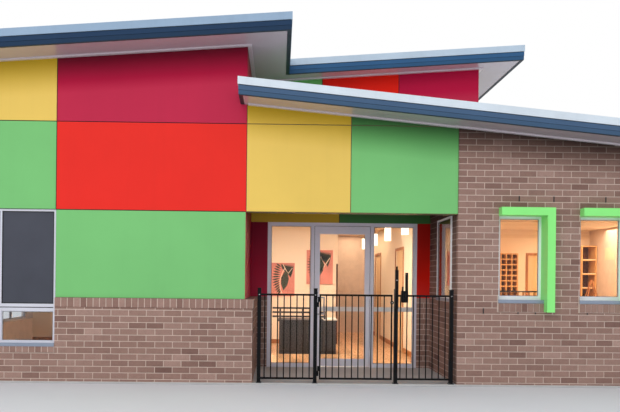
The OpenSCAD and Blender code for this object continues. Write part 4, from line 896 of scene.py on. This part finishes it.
# ---- fence and gate fittings
bolts, screws, lock, pull = Heap(), Heap(), Heap(), Heap()
for x in POST_XS:
    for bolt_x in (x - 0.030, x + 0.030):
        for y in (FENCE_Y - 0.030, FENCE_Y + 0.030):
            bolts.rod((bolt_x, y, SLAB_Z + 0.009), (bolt_x, y, SLAB_Z + 0.016), 0.0055, 6)
    screws.rod((x, FENCE_Y - 0.0245, 1.236), (x, FENCE_Y - 0.0275, 1.236), 0.009, 16, 0.006)
bolts.piece("post_base_bolts", "brushed_steel", slot="steel")
screws.piece("post_screws", "brushed_steel", slot="steel", smooth=True)
box_x, box_face = POST_XS[2] + 0.066, FENCE_Y - 0.062
lock.block((box_x + 0.010, box_x + 0.080), (box_face - 0.003, box_face), (1.153, 1.297))
for z in (1.169, 1.197, 1.225, 1.253, 1.281):
    for x in (box_x + 0.032, box_x + 0.058):
        lock.rod((x, box_face - 0.003, z), (x, box_face - 0.008, z), 0.007, 12)
lock.piece("lock_box_buttons", "black_coat", slot="fence", smooth=True)
x, y = POST_XS[2], FENCE_Y - 0.0435
pull.rod((x, y, 1.636), (x, y, 1.643), 0.012, 20, 0.006)
pull.rod((x, y - 0.0150, 1.45), (x, y - 0.0185, 1.45), 0.008, 16)
pull.piece("latch_pull_knob", "brushed_steel", slot="fence", smooth=True)
keeper = Heap().rod((0.647, FENCE_Y - 0.0325, 1.141), (0.647, FENCE_Y - 0.0375, 1.141), 0.010, 20, 0.008)
keeper.piece("gate_keeper_rivet", "brushed_steel", "gate", "fence", smooth=True)


# ---- rooms
def shelf_unit(name, x, rows, columns, cell_w, cell_h, top, board, depth):
    """Open pigeon-hole unit with its back against the wing room's rear wall."""
    heap, x0, y = Heap(), x - (columns * cell_w + board) / 2, (WING_WALL_Y - depth, WING_WALL_Y - 0.002)
    for i in range(columns + 1):
        heap.block((x0 + i * cell_w, x0 + i * cell_w + board), y, (top - rows * cell_h - board, top))
    for j in range(rows + 1):
        z = top - board - j * cell_h
        for i in range(columns):
            heap.block((x0 + i * cell_w + board, x0 + (i + 1) * cell_w), y, (z, z + board))
    heap.piece(name, "pale_timber", slot="timber")


shelf_unit("pigeon_holes", 4.342, 16, 3, 0.1275, 0.1235, 2.100, 0.026, 0.26)
TALL_ROW, TALL_TOP, TALL_BOARD = 0.318, 2.285, 0.022
shelf_unit("tall_shelf_frame", 6.112, 6, 1, 0.322, TALL_ROW, TALL_TOP, TALL_BOARD, 0.40)
backs, shelf_tops = Heap(), Heap()
for x, z in (((4.150, 4.540), (0.11, 2.09)), ((5.960, 6.270), (0.38, 2.27))):
    backs.block(x, (WING_WALL_Y - 0.030, WING_WALL_Y - 0.003), z)
for j in range(1, 5):
    z = TALL_TOP - TALL_BOARD - j * TALL_ROW
    shelf_tops.block((5.964, 6.262), (WING_WALL_Y - 0.404, WING_WALL_Y - 0.04), (z + 0.022, z + 0.034))
backs.piece("shelf_backs", "dark_timber", slot="timber")
shelf_tops.piece("tall_shelf_tops", "cream_paint", slot="plaster")

rail_y, rail_x = FRONT_Y + 1.35, (1.95, 3.30)
rail = Heap().block(rail_x, (rail_y, rail_y + 0.040), (1.284, 1.306))
rail.piece("low_rail_top", "dark_laminate", slot="desk")
rail = Heap().block(rail_x, (rail_y + 0.004, rail_y + 0.036), (0.120, 0.160))
for i in range(15):
    x = 1.97 + i * 0.089
    rail.block((x, x + 0.030), (rail_y + 0.008, rail_y + 0.032), (0.025, 1.284))
rail.piece("low_rail_posts", "pale_timber", slot="timber")

easel = Heap()
for side in (-1, 1):
    for foot_y, head_y in ((0.46, 0.62), (0.82, 0.65)):
        easel.rod((5.85 + side * 0.42, foot_y, 0.026), (5.85 + side * 0.006, head_y, 1.50), 0.012, 8)
easel.block((5.60, 6.10), (0.50, 0.54), (0.66, 0.695)).piece("timber_easel", "warm_timber", slot="timber")

wall_trims = Heap().block((WING_X + 0.11, RIGHT_X - WALL), (WING_WALL_Y - 0.014, WING_WALL_Y), (2.470, 2.550))
wall_trims.block((RIGHT_X - WALL - 0.003, RIGHT_X - WALL), (0.56, 0.96), (1.950, 2.220))
wall_trims.piece("wing_wall_trims", "cream_paint", slot="plaster")

handles, linings, skirting = Heap(), Heap(), Heap()
lining_z, lining_head, lining_t = (FLOOR_Z, 2.120), (2.065, 2.120), 0.014
for y0 in INNER_DOOR_YS:
    y, y1 = y0 + 0.75, y0 + INNER_DOOR_W
    handles.rod((WING_X + 0.020, y, 1.0), (WING_X - 0.035, y, 1.0), 0.009)
    handles.rod((WING_X - 0.035, y + 0.006, 1.0), (WING_X - 0.035, y - 0.11, 1.0), 0.009)
    for span, z in (((y0 - 0.055, y0), lining_z), ((y1, y1 + 0.055), lining_z), ((y0, y1), lining_head)):
        linings.block((WING_X - lining_t, WING_X), span, z)
wing_z = (SLAB_Z, 2.120)
for span, z in (((4.815, 4.870), wing_z), ((5.690, 5.745), wing_z), ((4.870, 5.690), lining_head)):
    linings.block(span, (WING_WALL_Y - lining_t, WING_WALL_Y), z)
lever_y = WING_WALL_Y - 0.035
handles.rod((4.95, WING_WALL_Y + 0.020, 1.0), (4.95, lever_y, 1.0), 0.009)
handles.rod((4.944, lever_y, 1.0), (5.06, lever_y, 1.0), 0.009)
handles.piece("inner_door_levers", "brushed_steel", slot="steel", smooth=True)
linings.piece("door_linings", "warm_timber", slot="timber")

skirting.block((LEFT_X + WALL, 0.38), (PICTURE_WALL_Y - 0.016, PICTURE_WALL_Y), (FLOOR_Z, 0.13))
for y in ((SETBACK_Y + WALL, FRONT_Y + 3.94), (FRONT_Y + 4.88, FRONT_Y + 6.84),
          (FRONT_Y + 7.78, REAR_Y - WALL)):
    skirting.block((WING_X - 0.016, WING_X), y, (FLOOR_Z, 0.13))
for x in ((WING_X + 0.11, 4.81), (5.75, RIGHT_X - WALL)):
    skirting.block(x, (WING_WALL_Y - 0.016, WING_WALL_Y), (SLAB_Z, 0.12))
skirting.piece("skirting_boards", "warm_timber", slot="timber")
strip = Heap().block((0.346, 0.382), (PICTURE_WALL_Y - 0.018, PICTURE_WALL_Y + 0.128), (FLOOR_Z, 1.80))
strip.piece("wall_end_strip", "dark_timber", slot="timber")

# ---- the two pictures' motifs
leaves, stems = Heap(), Heap()
CANVAS_Y = PICTURE_WALL_Y - 0.030
LEAF_OUTLINE = ((0.3, 0.42), (0.6, 0.5), (0.85, 0.25), (1.0, 0.0), (0.85, -0.25), (0.6, -0.5), (0.3, -0.42))


def leaflet(base, angle, length, width, raised=0.0):
    """A pointed leaf as a thin raised shape. The angle is from straight up, towards the right."""
    x, z, sine, cosine = *base, math.sin(angle), math.cos(angle)
    outline = [base] + [(x + sine * length * t + cosine * width * half,
                         z + cosine * length * t - sine * width * half) for t, half in LEAF_OUTLINE]
    leaves.prism(outline, (CANVAS_Y - raised - 0.0012, CANVAS_Y - raised + 0.0004))


def fan(top, length, drop=0.50, count=13):
    """Narrow leaves along a stem that goes down from top, turned from up-left to down-left."""
    for i in range(count):
        t = i / (count - 1)
        swell = math.sin(math.pi * t)
        base = (top[0] - 0.022 * swell, top[1] - drop * t)
        leaflet(base, -(0.95 + 1.65 * t), length * (0.8 + 0.3 * swell), 0.036)


def tuft(count, corner, step, turn, length, growth, width):
    """Narrow leaves that hang from a picture's top edge and grow longer to the right."""
    for i in range(count):
        base = (corner[0] + i * step, corner[1] - 0.002 * i)
        leaflet(base, 2.75 + turn * i, length + growth * i, width, 0.0002)


def stalk(points, width):
    """A pale stem through points, as one flat ribbon."""
    sides = []
    for i, (x, z) in enumerate(points):
        (ax, az), (bx, bz) = points[max(i - 1, 0)], points[min(i + 1, len(points) - 1)]
        size = math.hypot(bx - ax, bz - az)
        off_x, off_z = (bz - az) / size * width / 2, (bx - ax) / size * width / 2
        sides.append(((x - off_x, z + off_z), (x + off_x, z - off_z)))
    outline = [right for _, right in sides] + [left for left, _ in reversed(sides)]
    stems.prism(outline, (CANVAS_Y - 0.0018, CANVAS_Y + 0.0004))


# the low picture, x -1.080 to -0.570 and z 1.080 to 1.810
leaflet((-0.815, 1.20), 0.12, 0.46, 0.17, 0.0006)
fan((-0.870, 1.72), 0.165)
tuft(17, (-0.88, 1.800), 0.018, 0.04, 0.17, 0.008, 0.026)
stalk([(-0.83, 1.09), (-0.885, 1.24), (-0.895, 1.42), (-0.84, 1.60), (-0.79, 1.69)], 0.016)
stalk([(-0.83, 1.78), (-0.76, 1.65), (-0.71, 1.58), (-0.62, 1.70)], 0.014)
# the high picture, x -0.310 to 0.270 and z 1.350 to 2.100
leaflet((-0.03, 1.52), 0.10, 0.44, 0.16, 0.0006)
fan((-0.110, 2.00), 0.160)
tuft(19, (-0.10, 2.090), 0.0185, 0.035, 0.15, 0.011, 0.027)
stalk([(-0.06, 1.40), (-0.02, 1.56), (0.06, 1.72), (0.13, 1.82), (0.20, 1.93)], 0.016)
stalk([(0.10, 1.78), (0.04, 1.86), (0.00, 1.96)], 0.013)
leaves.piece("picture_leaves", "dark_leaf_paint", slot="picture")
stems.piece("picture_stems", "cream_paint", slot="picture")

# ---- desk and lamps
desk_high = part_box("reception_desk")[1]
sheet = Heap().block((-0.055, 0.203), (-1.054, desk_high.y + 0.002), (0.676, 0.698))
sheet.piece("desk_top_sheet", "pale_laminate", slot="desk")

lamp_parts, down, trims = Heap(), Heap(), Heap()
for i in range(4):
    x, y = 1.25, FRONT_Y + 2.3 + i * 1.8
    lamp_parts.rod((x, y, 2.500), (x, y, 2.522), 0.067, 24, 0.030)
    lamp_parts.rod((x, y, 2.522), (x, y, 2.650), 0.008, 12)
    lamp_parts.rod((x, y, 2.628), (x, y, 2.650), 0.053, 24)
lamp_parts.piece("pendant_caps", "brushed_steel", slot="steel", smooth=True)
for x in (-1.0, -0.1, 0.8):
    for y in (-1.9, -0.7):
        down.rod((x, y, CEILING_Z - 0.006), (x, y, CEILING_Z - 0.001), 0.045, 20)
        trims.rod((x, y, CEILING_Z - 0.004), (x, y, CEILING_Z), 0.058, 24)
down.piece("downlights", "downlight_glow", slot="lamp")
tray = Heap().block((2.4, 5.9), (-0.72, 0.06), (CEILING_Z - 0.035, CEILING_Z - 0.001))
tray.piece("wing_light_tray", "cream_paint", slot="lamp")
trims.piece("downlight_trims", "silver_coat", slot="window_frame")

# ---- floor, light and camera
floor_mesh = bpy.data.meshes.new("floor")
REACH = 60.0
corners = [(x, y, -0.002) for x, y in ((-REACH, -REACH), (REACH, -REACH), (REACH, REACH), (-REACH, REACH))]
floor_mesh.from_pydata(corners, [], [(0, 1, 2, 3)])
floor = show("floor", floor_mesh)
floor_mesh.materials.append(FINISH["pale_floor"])
floor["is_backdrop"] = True


def world_light():
    """White behind the building; a soft cool sky for the light it gives."""
    world = bpy.data.worlds.new("soft_sky")
    bpy.context.scene.world = world
    world.use_nodes = True
    tree = world.node_tree
    tree.nodes.clear()
    path = node(tree, "ShaderNodeLightPath").outputs
    seen = maths(tree, "MAXIMUM", path["Is Camera Ray"], path["Is Glossy Ray"])
    seen = maths(tree, "MAXIMUM", seen, path["Is Transmission Ray"])
    way = node(tree, "ShaderNodeTexCoord").outputs["Generated"]
    rise = node(tree, "ShaderNodeSeparateXYZ", {0: way}).outputs["Z"]
    level_up = ranged(tree, rise, 0.0, 1.0, 0.24, 1.42)
    sky = node(tree, "ShaderNodeBackground", {"Color": (0.92, 0.96, 1.0, 1), "Strength": level_up})
    white = node(tree, "ShaderNodeBackground", {"Color": WHITE, "Strength": 1.0})
    mixed = node(tree, "ShaderNodeMixShader", {0: seen, 1: sky.outputs[0], 2: white.outputs[0]})
    tree.links.new(mixed.outputs[0], node(tree, "ShaderNodeOutputWorld").inputs[0])


def area_light(name, place, aim, size, power, color):
    """A soft rectangle of light, unseen itself."""
    data = bpy.data.lights.new(name, "AREA")
    data.shape = "RECTANGLE"
    data.size, data.size_y = size
    data.energy, data.color = power, color
    lamp = show(name, data)
    lamp.location = place
    lamp.rotation_euler = (Vector(aim) - Vector(place)).to_track_quat("-Z", "Y").to_euler()
    lamp.visible_camera = lamp.visible_glossy = lamp.visible_transmission = False


world_light()
LOBBY, PEACH, ORANGE = (1.0, 0.89, 0.73), (1.0, 0.76, 0.51), (1.0, 0.46, 0.13)
area_light("front_soft", (-7, -18, 9), (0, -4, 1.5), (14, 9), 750, (1.0, 0.98, 0.96))
area_light("right_soft", (16, -12, 9), (2, -3, 1.5), (10, 8), 220, (0.95, 0.97, 1.0))
area_light("lobby_light", (-0.4, -1.2, 2.62), (-0.4, -1.0, 0), (2.0, 2.2), 198, LOBBY)
area_light("corridor_light", (0.95, 2.6, 2.62), (0.95, 2.6, 0), (0.7, 3.0), 30, PEACH)
area_light("wing_left_light", (3.1, -1.4, 2.60), (3.1, -1.4, 0), (1.8, 4.6), 45, ORANGE)
area_light("wing_right_light", (5.7, -1.4, 2.60), (5.7, -1.4, 0), (1.2, 4.6), 128, PEACH)
area_light("wing_back_light", (4.0, 3.0, 2.62), (4.0, 3.0, 0), (3.0, 1.6), 26, ORANGE)

camera_data = bpy.data.cameras.new("front_view")
camera = show("front_view", camera_data)
bpy.context.scene.camera = camera
camera_data.sensor_width = 36.0
camera_data.lens = 38.177
camera_data.shift_x, camera_data.shift_y = 0.0331, 0.1187
yaw, roll = math.radians(0.87), math.radians(0.62)
ahead = Vector((math.sin(yaw), math.cos(yaw), 0))
right, up = Vector((math.cos(yaw), -math.sin(yaw), 0)), Vector((0, 0, 1))
turned_right = right * math.cos(roll) + up * math.sin(roll)
turned_up = up * math.cos(roll) - right * math.sin(roll)
camera.matrix_world = Matrix.Translation((-0.903, -13.5, 1.444)) @ Matrix(
    (turned_right, turned_up, -ahead)).transposed().to_4x4()

bpy.context.scene.view_settings.view_transform = "Standard"

low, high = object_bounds()
